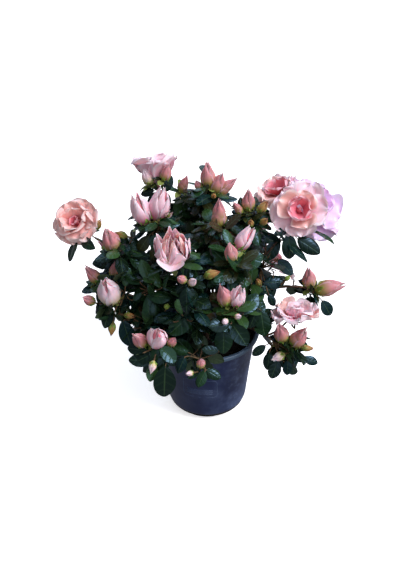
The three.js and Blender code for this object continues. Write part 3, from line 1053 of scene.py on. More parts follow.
@dataclass
class Compost:
    """The fill of peat compost, with a crumbly domed top and loose crumbs on it. Millimetres."""

    crown: float = 2.5
    roughness: float = 1.1
    grain: float = 14.0  # wavelength of the top's coarsest unevenness
    taper: float = 7.4  # how much narrower the foot is than the top
    around: int = 96
    top_rings: int = 30
    crumbs: int = 420
    crumb_size: tuple[float, float] = (0.6, 2.4)
    crumb_lattice: Lattice = Lattice(5, 7)

    def surface(self, x: Array, y: Array, radius: float, top: float) -> Array:
        """Heights of the top: a shallow dome with noise that dies out at the wall."""
        share = np.sqrt(x**2 + y**2) / radius
        noise = ripple(np.stack([x, y, 0 * x], -1), self.grain, SEED + 2, 5)
        rough = noise * np.clip(4 * (1 - share), 0, 1)
        return top - self.crown + self.crown * (1 - share**2) + self.roughness * rough

    def fill(self, radius: float, low: float, top: float) -> tuple[Array, Lattice]:
        """The fill, turned, with its top made uneven.

        Args:
            radius: Its radius at the top.
            low: The height of its underside.
            top: The height of its crown.

        Returns:
            Its vertices, (1, rings, around, 3), and their lattice.
        """
        foot = radius - self.taper
        wall = np.array([[3, low], [foot, low], [foot + 1, low + 5], [radius, top - self.crown - 1]])
        across = np.linspace(radius - 0.3, 1.5, self.top_rings)
        level = np.stack([across, 0 * across + top - self.crown], -1)
        profile = np.concatenate([filleted(wall, 1.0), level])
        points = turned(profile, self.around)
        upper = points[:, len(profile) - self.top_rings :]
        upper[..., 2] = self.surface(upper[..., 0], upper[..., 1], radius, top)
        return points * MM, Lattice(len(profile), self.around)

    def loose(self, radius: float, top: float) -> Array:
        """Vertices of crumbs, (crumbs, rings, around, 3), scattered evenly, each an uneven sphere.

        Args:
            radius: The fill's radius at the top.
            top: The height of its crown.
        """
        rng = np.random.default_rng(SEED + 3)
        reach = (radius - 2) * np.sqrt(rng.uniform(0, 1, self.crumbs))
        turn = rng.uniform(0, 2 * np.pi, self.crumbs)
        place = np.stack([reach * np.cos(turn), reach * np.sin(turn), 0 * turn], -1)
        size = rng.uniform(*self.crumb_size, self.crumbs)
        place[:, 2] = self.surface(place[:, 0], place[:, 1], radius, top) + 0.3 * size
        rings, around = self.crumb_lattice.rings, self.crumb_lattice.around
        bend = np.linspace(0.3, 2.85, rings)
        lump = turned(np.stack([np.sin(bend), -np.cos(bend)], -1), around)
        uneven = lump * rng.uniform(0.55, 1.25, (self.crumbs, rings, around, 1))
        return (place[:, None, None] + uneven * size[:, None, None, None]) * MM

    def build(self) -> None:
        """Makes the fill and its crumbs."""
        middle, half = box_of("compost")
        radius, low, top = half[0] / MM, (middle - half)[2] / MM, (middle + half)[2] / MM
        finish = PeatCompost().material()
        fill, crumbs = Growth("compost_fill"), Growth("compost_crumbs")
        fill.add(*self.fill(radius, low, top))
        crumbs.add(self.loose(radius, top), self.crumb_lattice)
        fill.build(finish, "compost", ["compost"])
        crumbs.build(finish, "compost", [])


# ------------------ wood
@dataclass
class Framework:
    """The stem, the boughs, and the branches that lead from them into the masses of foliage."""

    bough_lattice: Lattice = Lattice(30, 12)
    branch_lattice: Lattice = Lattice(14, 8)
    relief: float = 0.24  # of the bark, as a share of the radius
    slimness: float = 0.6  # of a bough's far end, beside the frame's
    rooting: float = 0.8  # share of the gap to the fork that a bough's start is run on
    stem_lattice: Lattice = Lattice(24, 28)
    stem_taper: tuple[float, float] = (0.58, 0.14)  # radius at the foot and what it loses, per half box
    flare: float = 0.42  # of the roots, per half box
    dome_from: float = 0.9  # share of the height from which the top rounds in
    hub_depth: float = 0.5  # how far into a mass its branch runs, towards its middle
    side_hub_depth: float = 0.8  # the same where the branch forks off a bough
    side_branch: float = 1.2 * MM  # radius of such a branch
    old_bark: AzaleaBark = AzaleaBark("azalea_bark", "#5e4a3a", "#261b14")
    young_bark: AzaleaBark = AzaleaBark("young_azalea_bark", "#6e5238", "#3a3420", 2 * MM)
    hubs: dict[str, Array] = field(default_factory=dict)
    boughs: list[Limbs] = field(default_factory=list)

    def measure(self, node: str) -> Limbs:
        """The quadratic limb that best follows a bough of the frame.

        Its vertices' distances from the fork give their shares along, and least squares over 1, s
        and s^2 gives the middle line, whose start runs on into the stem. What is left over at each
        end is the radius there.

        Args:
            node: The bough's node.

        Returns:
            That one limb.
        """
        points = vertices_of(node)
        away = np.linalg.norm(points - self.fork, axis=1)
        share = (away - away.min()) / np.ptp(away)
        terms = np.stack([np.ones_like(share), share, share**2], 1)
        fit = np.linalg.lstsq(terms, points, rcond=None)[0]
        off = np.linalg.norm(points - terms @ fit, axis=1)
        start = fit[0] + self.rooting * (self.fork - fit[0])
        knee, end = fit[0] + fit[1] / 2, fit.sum(0)
        radii = (off[share < 0.3].mean(), self.slimness * off[share > 0.7].mean())
        return Limbs(start[None], knee[None], end[None], *(np.array([r]) for r in radii))

    @property
    def fork(self) -> Array:
        """The middle of the stem's top, where the boughs part."""
        points = vertices_of("stem")
        top = points[points[:, 2] > points[:, 2].max() - 1 * MM]
        return top.mean(0) - UP * 3 * MM

    def stem(self) -> Array:
        """The stem's vertices: a leaning taper with a root flare.

        The flare adds a falling exponential of the height to the radius, in four blunt lobes. The
        top rounds in as a quarter circle does, and the bark's noise scales the whole.
        """
        middle, half = box_of("stem")
        foot, top = (middle - half)[2], (middle + half)[2]
        s = np.linspace(0, 1, self.stem_lattice.rings)[:, None]
        around = self.stem_lattice.around
        turn = 2 * np.pi * np.arange(around)[None, :] / around
        height = foot + s * (top - foot)
        flare = self.flare * np.exp(-6 * s) * (1 + 0.3 * np.cos(4 * turn + 1))
        over = ((s - self.dome_from) / 0.105) ** 2 * (s > self.dome_from)
        dome = np.sqrt(np.clip(1 - over, 0.02, 1))
        radius = half[1] * (self.stem_taper[0] - self.stem_taper[1] * s + flare) * dome
        lean = self.fork[0] * s
        points = np.stack([lean + radius * np.cos(turn), -radius * np.sin(turn), height + 0 * turn], -1)
        bump = 1 + 0.5 * self.relief * ripple(points * np.array([1, 1, 0.3]), 7 * MM, SEED + 4)
        points[..., :2] = points[..., :2] * bump[..., None]
        return points[None]

    def joint(self, joints: Array, middle: Array) -> Array:
        """Where a mass with no bough of its own branches off.

        Args:
            joints: Places on the boughs, (n, 3).
            middle: The mass's middle.

        Returns:
            The nearest of those that are lower than the mass and nearer to the fork.
        """
        inner = np.linalg.norm(joints - self.fork, axis=1) < 0.97 * np.linalg.norm(middle - self.fork)
        inner &= joints[:, 2] < middle[2] - 8 * MM
        reach = np.where(inner, np.linalg.norm(joints - middle, axis=1), np.inf)
        return joints[reach.argmin()]

    def build(self, boughs: list[str], masses: list[str]) -> Growth:
        """Makes the stem and boughs, and plans the branches.

        Args:
            boughs: The frame's bough nodes.
            masses: The frame's mass nodes.

        Returns:
            The branches so far, to which the twigs of the crown are added.
        """
        bark = self.old_bark.material()
        stem = Growth("azalea_stem")
        stem.add(self.stem(), self.stem_lattice)
        stem.build(bark, "bark", ["stem"])
        limbs = {name: self.measure(name) for name in boughs}
        self.boughs = list(limbs.values())
        for name, limb in limbs.items():
            grown = Growth("limb" + name[len("bough") :])
            grown.add(limb.points(self.bough_lattice, self.relief), self.bough_lattice)
            grown.build(bark, "bark", [name])
        twigs = Growth("twigs")
        joints = np.concatenate([limb.middle(np.linspace(0.5, 1, 6)[None])[0] for limb in limbs.values()])
        for name in masses:
            middle = box_of(name)[0]
            own = limbs.get("bough" + name[len("mass") :])
            if own:
                start, towards, radius = own.end[0], own.end[0] - own.knee[0], own.tip[0]
                hub = start + self.hub_depth * (middle - start)
            else:
                start = self.joint(joints, middle)
                hub = start + self.side_hub_depth * (middle - start)
                towards, radius = (start - self.fork) + UP * 20 * MM, self.side_branch
            knee = start + unit(towards) * 0.4 * np.linalg.norm(hub - start)
            branch = Limbs(start[None], knee[None], hub[None], np.array([radius]), np.array([0.8 * radius]))
            twigs.add(branch.points(self.branch_lattice, 0.15), self.branch_lattice)
            self.hubs[name] = hub
        return twigs


# ------------------ blossom
class Stage(Enum):
    """How far a flower has come."""

    DOUBLE = "open, full of ruffled petals"
    OPEN = "open, its throat showing"
    FUNNEL = "open, a deep funnel"
    FAN = "open, a wide funnel"
    LILAC = "open, in a bluer pink"
    CUP = "half open, a deep cup"
    BLUSH = "a rosebud wrapped in nearly white petals"
    ROSE = "a pink rosebud"
    BURST = "a bud whose pointed petals have parted"
    PLUMP = "a fat closed bud"
    POINTED = "a slender closed bud"
    SMALL = "a small pink bud"
    CREAM = "a small bud, nearly white"
    BRONZE = "a small bud still in its brown scales"
    GREEN = "a small green bud"
    SHOOT = "a tuft of young leaves"


@dataclass(frozen=True)
class Whorl:
    """Petals of an open flower that stand in one ring. Lengths are shares of the longest petal."""

    petals: int
    tilt: float  # degrees from the flower's axis at the foot
    curl: float
    length: float
    width: float
    cup: float
    ruffle: float
    tint: PetalTint


OPEN_WHORLS = (
    Whorl(5, 54, 0.85, 1.0, 0.6, 0.08, 0.14, PetalTint.PALE),
    Whorl(3, 40, 0.6, 0.88, 0.6, 0.2, 0.15, PetalTint.SALMON),
    Whorl(4, 25, 0.35, 0.74, 0.58, 0.4, 0.13, PetalTint.THROAT),
)
BLOOMS = {
    Stage.DOUBLE: (
        Whorl(5, 54, 0.8, 1.0, 0.62, 0.1, 0.16, PetalTint.SALMON),
        Whorl(4, 37, 0.55, 0.92, 0.62, 0.2, 0.18, PetalTint.SALMON),
        Whorl(3, 22, 0.35, 0.8, 0.6, 0.3, 0.17, PetalTint.SALMON),
        Whorl(3, 10, 0.2, 0.5, 0.5, 0.4, 0.12, PetalTint.THROAT),
    ),
    Stage.OPEN: OPEN_WHORLS,
    Stage.FUNNEL: (
        Whorl(5, 25, 0.45, 1.0, 0.52, 0.25, 0.11, PetalTint.PALE),
        Whorl(4, 17, 0.4, 0.95, 0.48, 0.3, 0.12, PetalTint.PALE),
        Whorl(3, 9, 0.3, 0.75, 0.42, 0.5, 0.1, PetalTint.THROAT),
    ),
    Stage.FAN: (
        Whorl(6, 48, 0.5, 1.0, 0.5, 0.15, 0.13, PetalTint.PALE),
        Whorl(4, 34, 0.5, 0.86, 0.5, 0.25, 0.12, PetalTint.PALE),
        Whorl(4, 17, 0.3, 0.62, 0.5, 0.4, 0.1, PetalTint.PALE),
    ),
    Stage.LILAC: tuple(replace(whorl, tint=PetalTint.LILAC) for whorl in OPEN_WHORLS),
}


@dataclass(frozen=True)
class Coat:
    """Petals or scales that wrap a bud in one ring. Lengths and radii are shares of the bud's length."""

    petals: int
    length: float
    radius: float
    openness: float
    span: float  # half the angle that each wraps, in degrees
    twist: float
    lift: float
    rounding: float
    wave: float
    tint: PetalTint


def sepals(length: float, radius: float, span: float = 30, rounding: float = 0.7) -> Coat:
    """The five green sepals at the foot."""
    return Coat(5, length, radius, 0.95, span, 0.1, 0.05, rounding, 0.0, PetalTint.SEPAL)


SEPALS = sepals(0.36, 0.25, 28)
CORE = Coat(3, 0.93, 0.15, 0.0, 80, 1.2, 0.1, 0.2, 0.0, PetalTint.SALMON)
TUFT = Coat(3, 0.5, 0.1, 0.05, 70, 0.75, 0.12, 0.3, 0.12, PetalTint.THROAT)
ROSE_HEART = (
    Coat(4, 0.95, 0.25, 0.2, 62, 0.5, 0.16, 0.34, 0.12, PetalTint.PALE),
    Coat(4, 1.0, 0.18, 0.12, 62, 0.9, 0.16, 0.3, 0.08, PetalTint.THROAT),
    CORE,
    SEPALS,
)
BUDS = {
    Stage.CUP: (
        Coat(5, 0.84, 0.45, 0.8, 34, 0.15, 0.1, 0.4, 0.14, PetalTint.PALE),
        Coat(6, 0.98, 0.41, 0.68, 30, 0.25, 0.12, 0.42, 0.12, PetalTint.PALE),
        Coat(5, 1.02, 0.32, 0.5, 34, 0.3, 0.12, 0.4, 0.12, PetalTint.SALMON),
        Coat(4, 0.98, 0.23, 0.35, 42, 0.4, 0.12, 0.4, 0.1, PetalTint.PALE),
        Coat(3, 0.9, 0.12, 0.2, 60, 0.4, 0.12, 0.4, 0.1, PetalTint.SALMON),
        SEPALS,
    ),
    Stage.BLUSH: (Coat(3, 0.9, 0.3, 0.26, 84, 0.35, 0.18, 0.3, 0.14, PetalTint.CREAM), *ROSE_HEART),
    Stage.ROSE: (Coat(3, 0.88, 0.31, 0.42, 66, 0.35, 0.18, 0.32, 0.16, PetalTint.PALE), *ROSE_HEART),
    Stage.BURST: (
        Coat(4, 0.84, 0.29, 0.5, 48, 0.3, 0.14, 0.42, 0.16, PetalTint.PALE),
        Coat(4, 1.0, 0.26, 0.36, 50, 0.4, 0.14, 0.42, 0.14, PetalTint.PALE),
        Coat(4, 0.96, 0.18, 0.22, 56, 0.6, 0.14, 0.36, 0.1, PetalTint.THROAT),
        CORE,
        SEPALS,
    ),
    Stage.PLUMP: (
        Coat(4, 0.86, 0.26, 0.22, 58, 0.4, 0.14, 0.3, 0.1, PetalTint.BUD),
        Coat(3, 1.0, 0.2, 0.12, 66, 0.7, 0.16, 0.3, 0.08, PetalTint.BUD),
        CORE,
        SEPALS,
    ),
    Stage.POINTED: (
        Coat(3, 0.82, 0.22, 0.08, 64, 0.4, 0.14, 0.4, 0.06, PetalTint.BUD),
        Coat(4, 1.0, 0.19, 0.0, 58, 0.8, 0.14, 0.3, 0.04, PetalTint.BUD),
        sepals(0.3, 0.22, 27, 0.75),
    ),
    Stage.SMALL: (Coat(4, 1.0, 0.27, 0.0, 62, 0.6, 0.12, 0.25, 0.0, PetalTint.BUD), sepals(0.5, 0.28)),
    Stage.CREAM: (Coat(4, 1.0, 0.28, 0.0, 62, 0.5, 0.12, 0.22, 0.0, PetalTint.CREAM), sepals(0.4, 0.29)),
    Stage.BRONZE: (
        Coat(4, 1.0, 0.25, 0.05, 60, 0.5, 0.16, 0.35, 0.0, PetalTint.SCALE),
        Coat(5, 0.55, 0.26, 0.9, 32, 0.1, 0.06, 0.7, 0.0, PetalTint.SEPAL),
    ),
    Stage.GREEN: (
        Coat(4, 1.0, 0.28, 0.05, 62, 0.4, 0.12, 0.3, 0.0, PetalTint.SEPAL),
        Coat(5, 0.6, 0.29, 0.9, 30, 0.1, 0.05, 0.7, 0.0, PetalTint.SEPAL),
    ),
    Stage.SHOOT: (
        Coat(4, 1.0, 0.3, 0.6, 26, 0.1, 0.1, 0.8, 0.0, PetalTint.CREAM),
        Coat(3, 0.7, 0.2, 0.2, 40, 0.2, 0.1, 0.8, 0.0, PetalTint.SEPAL),
    ),
}


@dataclass(frozen=True)
class Head:
    """A flower or bud: its mass, stage, place in the mass's box, size in millimetres and facing.

    The place runs from -1 to 1 along each side of the box. It is the middle of an open flower, and
    the foot of a bud. The size is an open flower's width, and a bud's length.
    """

    mass: str
    stage: Stage
    place: Triple
    size: float
    facing: Triple

    petal_share: float = 0.57  # longest petal of an open flower, beside its width
    depth_share: float = 0.3  # foot of an open flower below its middle, beside that petal
    room: tuple[float, float] = (0.52, 0.42)  # kept round a flower and round a bud, beside the size
    least_room: float = 8.0

    @property
    def is_open(self) -> bool:
        """Whether it is an open flower."""
        return self.stage in BLOOMS

    @property
    def axis(self) -> Array:
        """The way it faces, of length one."""
        return unit(np.array(self.facing))

    @property
    def petal(self) -> float:
        """An open flower's longest petal, in metres."""
        return self.petal_share * self.size * MM

    @property
    def foot(self) -> Array:
        """Where it meets its stalk."""
        middle, half = box_of(self.mass)
        place = middle + half * np.array(self.place)
        return place - self.axis * self.depth_share * self.petal if self.is_open else place

    @property
    def middle(self) -> Array:
        """The middle of what shows."""
        return self.foot + self.axis * (self.depth_share * self.petal if self.is_open else self.size / 2 * MM)

    @property
    def radius(self) -> float:
        """How far from its middle leaves keep off it, in metres."""
        share = self.room[0] if self.is_open else self.room[1]
        return max(share * self.size, self.least_room) * MM


PLACED_HEADS = {
    "left_bloom": (
        (Stage.DOUBLE, (-0.2, 0.2, 0.2), 51, (-0.25, -0.6, 0.75)),
        (Stage.BRONZE, (0.4, 0.4, -0.25), 15, (0.5, 0.2, 0.85)),
    ),
    "left_upper": (
        (Stage.PLUMP, (-0.25, 0.35, 0.0), 37, (-0.15, -0.25, 0.95)),
        (Stage.BRONZE, (0.3, 0.6, 0.45), 16, (-0.9, 0.0, 0.3)),
    ),
    "left": (
        (Stage.BLUSH, (-0.12, -0.1, -0.38), 42, (-0.1, -0.35, 0.9)),
        (Stage.PLUMP, (-0.7, 0.8, -0.1), 27, (-0.5, -0.1, 0.85)),
        (Stage.POINTED, (-0.1, 0.8, 0.15), 23, (0.1, -0.1, 0.95)),
        (Stage.SMALL, (-0.8, -0.1, -0.45), 20, (-0.5, -0.4, 0.6)),
        (Stage.BRONZE, (0.35, -0.5, -0.75), 14, (0.7, -0.3, 0.1)),
        (Stage.BRONZE, (-0.1, -0.6, -1.0), 17, (-0.1, -0.5, -0.8)),
    ),
    "front_left": (
        (Stage.PLUMP, (-0.37, 0.3, -0.1), 28, (-0.4, -0.3, 0.85)),
        (Stage.ROSE, (0.0, 0.25, 0.02), 35, (0.1, -0.4, 0.9)),
        (Stage.SMALL, (0.45, 0.2, 0.0), 17, (0.35, -0.3, 0.85)),
        (Stage.CREAM, (-0.05, -0.4, -0.2), 14, (-0.2, -0.7, -0.5)),
    ),
    "front_low": (
        (Stage.SMALL, (0.1, 0.05, -0.2), 16, (0.1, -0.2, 1.0)),
        (Stage.CREAM, (-0.3, -0.25, -0.3), 10, (-0.6, -0.5, 0.3)),
    ),
    "front": (
        (Stage.PLUMP, (-0.33, 0.25, 0.25), 31, (-0.22, -0.15, 0.95)),
        (Stage.BURST, (0.0, 0.25, 0.2), 30, (0.2, -0.15, 0.95)),
        (Stage.CREAM, (-0.38, -0.5, 0.15), 11, (-0.2, -0.8, 0.4)),
        (Stage.CREAM, (0.0, -0.35, 0.2), 10, (0.6, -0.6, 0.5)),
    ),
    "centre": (
        (Stage.CUP, (-0.05, 0.15, -0.2), 43, (0.0, -0.3, 0.95)),
    ),
    "centre_low": (
        (Stage.BRONZE, (0.65, 0.55, 1.05), 19, (0.8, -0.1, 0.45)),
        (Stage.SMALL, (-0.05, 0.25, 1.1), 16, (-0.45, -0.5, 0.7)),
        (Stage.CREAM, (0.15, 0.2, 1.05), 14, (0.3, -0.6, 0.7)),
    ),
    "centre_left": (
        (Stage.GREEN, (0.6, -0.8, -0.35), 10, (0.2, -0.4, 0.9)),
    ),
    "top_left": (
        (Stage.FUNNEL, (-0.1, 0.1, 0.05), 66, (-0.1, 0.5, 0.85)),
        (Stage.CREAM, (-0.33, -0.1, -0.15), 22, (-0.35, -0.1, 0.95)),
        (Stage.PLUMP, (0.2, -0.25, 0.1), 23, (0.3, -0.1, 0.95)),
    ),
    "upper_left": (
        (Stage.BURST, (-0.42, 0.1, -0.32), 39, (-0.2, -0.1, 0.95)),
        (Stage.BURST, (0.0, 0.2, -0.2), 42, (0.28, -0.05, 0.95)),
        (Stage.SHOOT, (0.5, -0.2, 0.1), 12, (0.4, -0.5, 0.7)),
    ),
    "top": (
        (Stage.PLUMP, (0.15, 0.15, 0.2), 33, (-0.1, 0.0, 1.0)),
        (Stage.PLUMP, (0.35, 0.05, 0.0), 31, (0.3, -0.1, 0.9)),
        (Stage.POINTED, (0.45, 0.0, 0.0), 32, (0.8, -0.1, 0.75)),
        (Stage.SMALL, (-0.2, 0.1, 0.1), 15, (-0.35, -0.1, 0.9)),
        (Stage.BRONZE, (0.3, -0.5, 0.15), 11, (0.1, -0.7, 0.5)),
        (Stage.POINTED, (-1.0, 0.5, -0.2), 26, (0.3, -0.2, 0.95)),
    ),
    "upper": (
        (Stage.POINTED, (0.05, 0.15, -0.05), 36, (0.0, -0.05, 1.0)),
    ),
    "upper_right": (
        (Stage.PLUMP, (-0.1, 0.0, 0.35), 28, (0.0, -0.05, 1.0)),
        (Stage.POINTED, (-0.4, -0.15, 0.3), 20, (-0.5, -0.1, 0.85)),
        (Stage.BRONZE, (0.35, -0.2, 0.35), 19, (0.5, -0.1, 0.85)),
        (Stage.BRONZE, (0.0, -0.75, 0.1), 13, (-0.1, -0.5, 0.8)),
        (Stage.BRONZE, (0.45, -0.7, 0.15), 15, (0.4, -0.5, 0.7)),
    ),
    "right": (
        (Stage.PLUMP, (-0.05, -0.2, 0.34), 27, (-0.15, -0.2, 0.95)),
        (Stage.BURST, (0.15, 0.4, 0.4), 31, (0.5, 0.1, 0.85)),
    ),
    "right_bloom": (
        (Stage.OPEN, (0.0, 0.05, 0.42), 51, (-0.15, -0.7, 0.7)),
    ),
    "right_upper": (
        (Stage.OPEN, (0.2, 0.05, 0.25), 50, (-0.35, 0.0, 0.9)),
    ),
    "right_back": (
        (Stage.LILAC, (0.35, -0.5, 0.2), 68, (0.55, -0.25, 0.75)),
    ),
    "far_right": (
        (Stage.PLUMP, (-0.35, 0.2, 0.08), 30, (-0.1, -0.05, 1.0)),
        (Stage.PLUMP, (-0.15, 0.0, 0.05), 35, (0.92, -0.1, 0.35)),
    ),
    "low_bloom": (
        (Stage.FAN, (-0.02, 0.0, 0.05), 54, (-0.05, 0.38, 0.92)),
    ),
    "low_right": (
        (Stage.PLUMP, (0.0, 0.3, 0.22), 31, (-0.25, -0.2, 0.95)),
        (Stage.PLUMP, (0.35, 0.2, 0.08), 33, (0.35, -0.25, 0.9)),
        (Stage.CREAM, (0.0, -0.35, 0.1), 16, (-0.8, -0.4, -0.1)),
        (Stage.BRONZE, (0.6, -0.1, 0.2), 14, (0.9, -0.2, 0.1)),
    ),
    "right_side": (
        (Stage.GREEN, (0.6, -0.7, -0.55), 9, (0.6, 0.0, 0.8)),
        (Stage.BRONZE, (-0.35, -0.75, -0.75), 13, (-0.3, -0.3, 0.9)),
    ),
}
HEADS = tuple(Head("mass_" + mass, *row) for mass, rows in PLACED_HEADS.items() for row in rows)


@dataclass
class Blossom:
    """All the flowers and buds, gathered by kind."""

    petal: BladeForm = BladeForm(20, 14, 1.75, 0.45, 0.3 * MM)
    coat: BladeForm = BladeForm(9, 6)
    scale: BladeForm = BladeForm(7, 4)
    foot_gap: float = 1.5 * MM  # between an open flower's axis and the feet of its petals
    warmer: float = 0.06  # share of pale petals that come out salmon
    flowers: Growth = field(default_factory=lambda: Growth("open_flowers", mapped=True))
    buds: Growth = field(default_factory=lambda: Growth("flower_buds", mapped=True))
    scales: Growth = field(default_factory=lambda: Growth("sepals_and_scales", mapped=True))

    def open_flower(self, head: Head, rng: np.random.Generator) -> None:
        """Adds a double flower, whose whorls of petals funnel up and then fall open."""
        for number, whorl in enumerate(BLOOMS[head.stage]):
            n = whorl.petals

            def vary(value: float, share: float = 0.12) -> Array:
                """That value for each petal, within a share of it."""
                return value * rng.uniform(1 - share, 1 + share, n)

            turn = 2 * np.pi * (np.arange(n) + 0.5 * number + rng.uniform(-0.14, 0.14, n)) / n
            axis = np.tile(head.axis, (n, 1))
            along, face = round_axis(axis, vary(math.radians(whorl.tilt), 0.2), turn)
            blades = Blades(
                base=np.tile(head.foot, (n, 1)) + along * self.foot_gap,
                along=along,
                face=face,
                length=vary(whorl.length * head.petal, 0.1),
                width=vary(whorl.width, 0.1),
                curl=vary(whorl.curl, 0.25),
                cup=vary(whorl.cup, 0.4),
                ruffle=vary(whorl.ruffle, 0.3),
                phase=rng.uniform(0, 2 * np.pi, n),
                twist=rng.uniform(-0.3, 0.3, n),
            )
            warmer = (rng.uniform(size=n) < self.warmer) & (whorl.tint is PetalTint.PALE)
            tint = np.where(warmer, PetalTint.SALMON, whorl.tint)
            self.flowers.add(blades.points(self.petal), self.petal.lattice(), tint)

    def coats(self, head: Head, coats: tuple[Coat, ...], length: float, rng: np.random.Generator) -> None:
        """Adds rings of petals or scales that wrap a head's axis.

        Args:
            head: The flower or bud.
            coats: The rings, from the outside in.
            length: What their shares are shares of, in metres.
            rng: The source of their variety.
        """
        for coat in coats:
            n = coat.petals
            shift = rng.uniform(0, 2 * np.pi)
            wraps = Wraps(
                base=np.tile(head.foot, (n, 1)),
                axis=np.tile(head.axis, (n, 1)),
                turn=shift + 2 * np.pi * (np.arange(n) + rng.uniform(-0.12, 0.12, n)) / n,
                length=coat.length * length * rng.uniform(0.9, 1.04, n),
                openness=np.clip(coat.openness + rng.uniform(-0.05, 0.07, n), 0, 1),
                wave=coat.wave * rng.uniform(0.6, 1.4, n),
                radius=coat.radius * length,
                span=math.radians(coat.span),
                twist=coat.twist,
                lift=coat.lift,
                rounding=coat.rounding,
            )
            green = coat.tint in (PetalTint.SEPAL, PetalTint.SCALE)
            grown, form = (self.scales, self.scale) if green else (self.buds, self.coat)
            grown.add(wraps.points(form), form.lattice(), coat.tint)

    def fallen_petal(self, head: Head) -> None:
        """Adds the outermost petal of a deep cup, broad and pale, which has bent down at the front."""
        length = 0.46 * head.size * MM
        rim = head.foot + head.axis * 15 * MM + np.array([2, -9, 0]) * MM
        petal = Blades(
            base=rim[None],
            along=unit(np.array([[-0.2, -0.8, 0.0]])),
            face=head.axis[None],
            length=np.array([length]),
            width=np.array([0.72]),
            curl=np.array([0.3]),
            cup=np.array([0.5]),
            ruffle=np.array([0.02]),
            phase=np.array([1.0]),
            twist=np.array([0.1]),
        )
        self.flowers.add(petal.points(self.petal), self.petal.lattice(), PetalTint.CREAM)

    def add(self, head: Head, rng: np.random.Generator) -> None:
        """Adds one flower or bud."""
        if head.is_open:
            self.open_flower(head, rng)
            self.coats(head, (TUFT, replace(SEPALS, length=0.2, radius=0.1)), head.petal, rng)
        else:
            self.coats(head, BUDS[head.stage], head.size * MM, rng)
        if head.stage is Stage.CUP:
            self.fallen_petal(head)

    def build(self) -> None:
        """Makes the three pieces."""
        self.flowers.build(PetalSkin("azalea_petal", 0.05, 0.6).material(), "foliage", [])
        skin = PetalSkin("azalea_bud_petal", 0.14, 0.62).material()
        self.buds.build(skin, "foliage", [])
        self.scales.build(skin, "foliage", [])


# ------------------ leaves
@dataclass(frozen=True)
class Shoot:
    """A leafy shoot: where it ends, which way it points, where its twig starts, and its leaves."""

    tip: Array
    axis: Array
    hub: Array
    leaves: int
    leaf: float  # length of its longest leaves, in metres
    tint: LeafTint
    spread: float = 42  # degrees that its youngest leaves stand off its axis
    flowering: bool = False  # whether it carries a flower or bud, and so has a twig in any case


FRONT = (0.0, -0.75, 0.66)  # towards the front and the light, where most leaves turn their faces


@dataclass(frozen=True)
class LoneLeaf:
    """A large listed leaf: its mass, foot in the mass's box, way, length in millimetres."""

    mass: str
    place: Triple
    way: Triple
    length: float
    tint: LeafTint
    face: Triple = FRONT


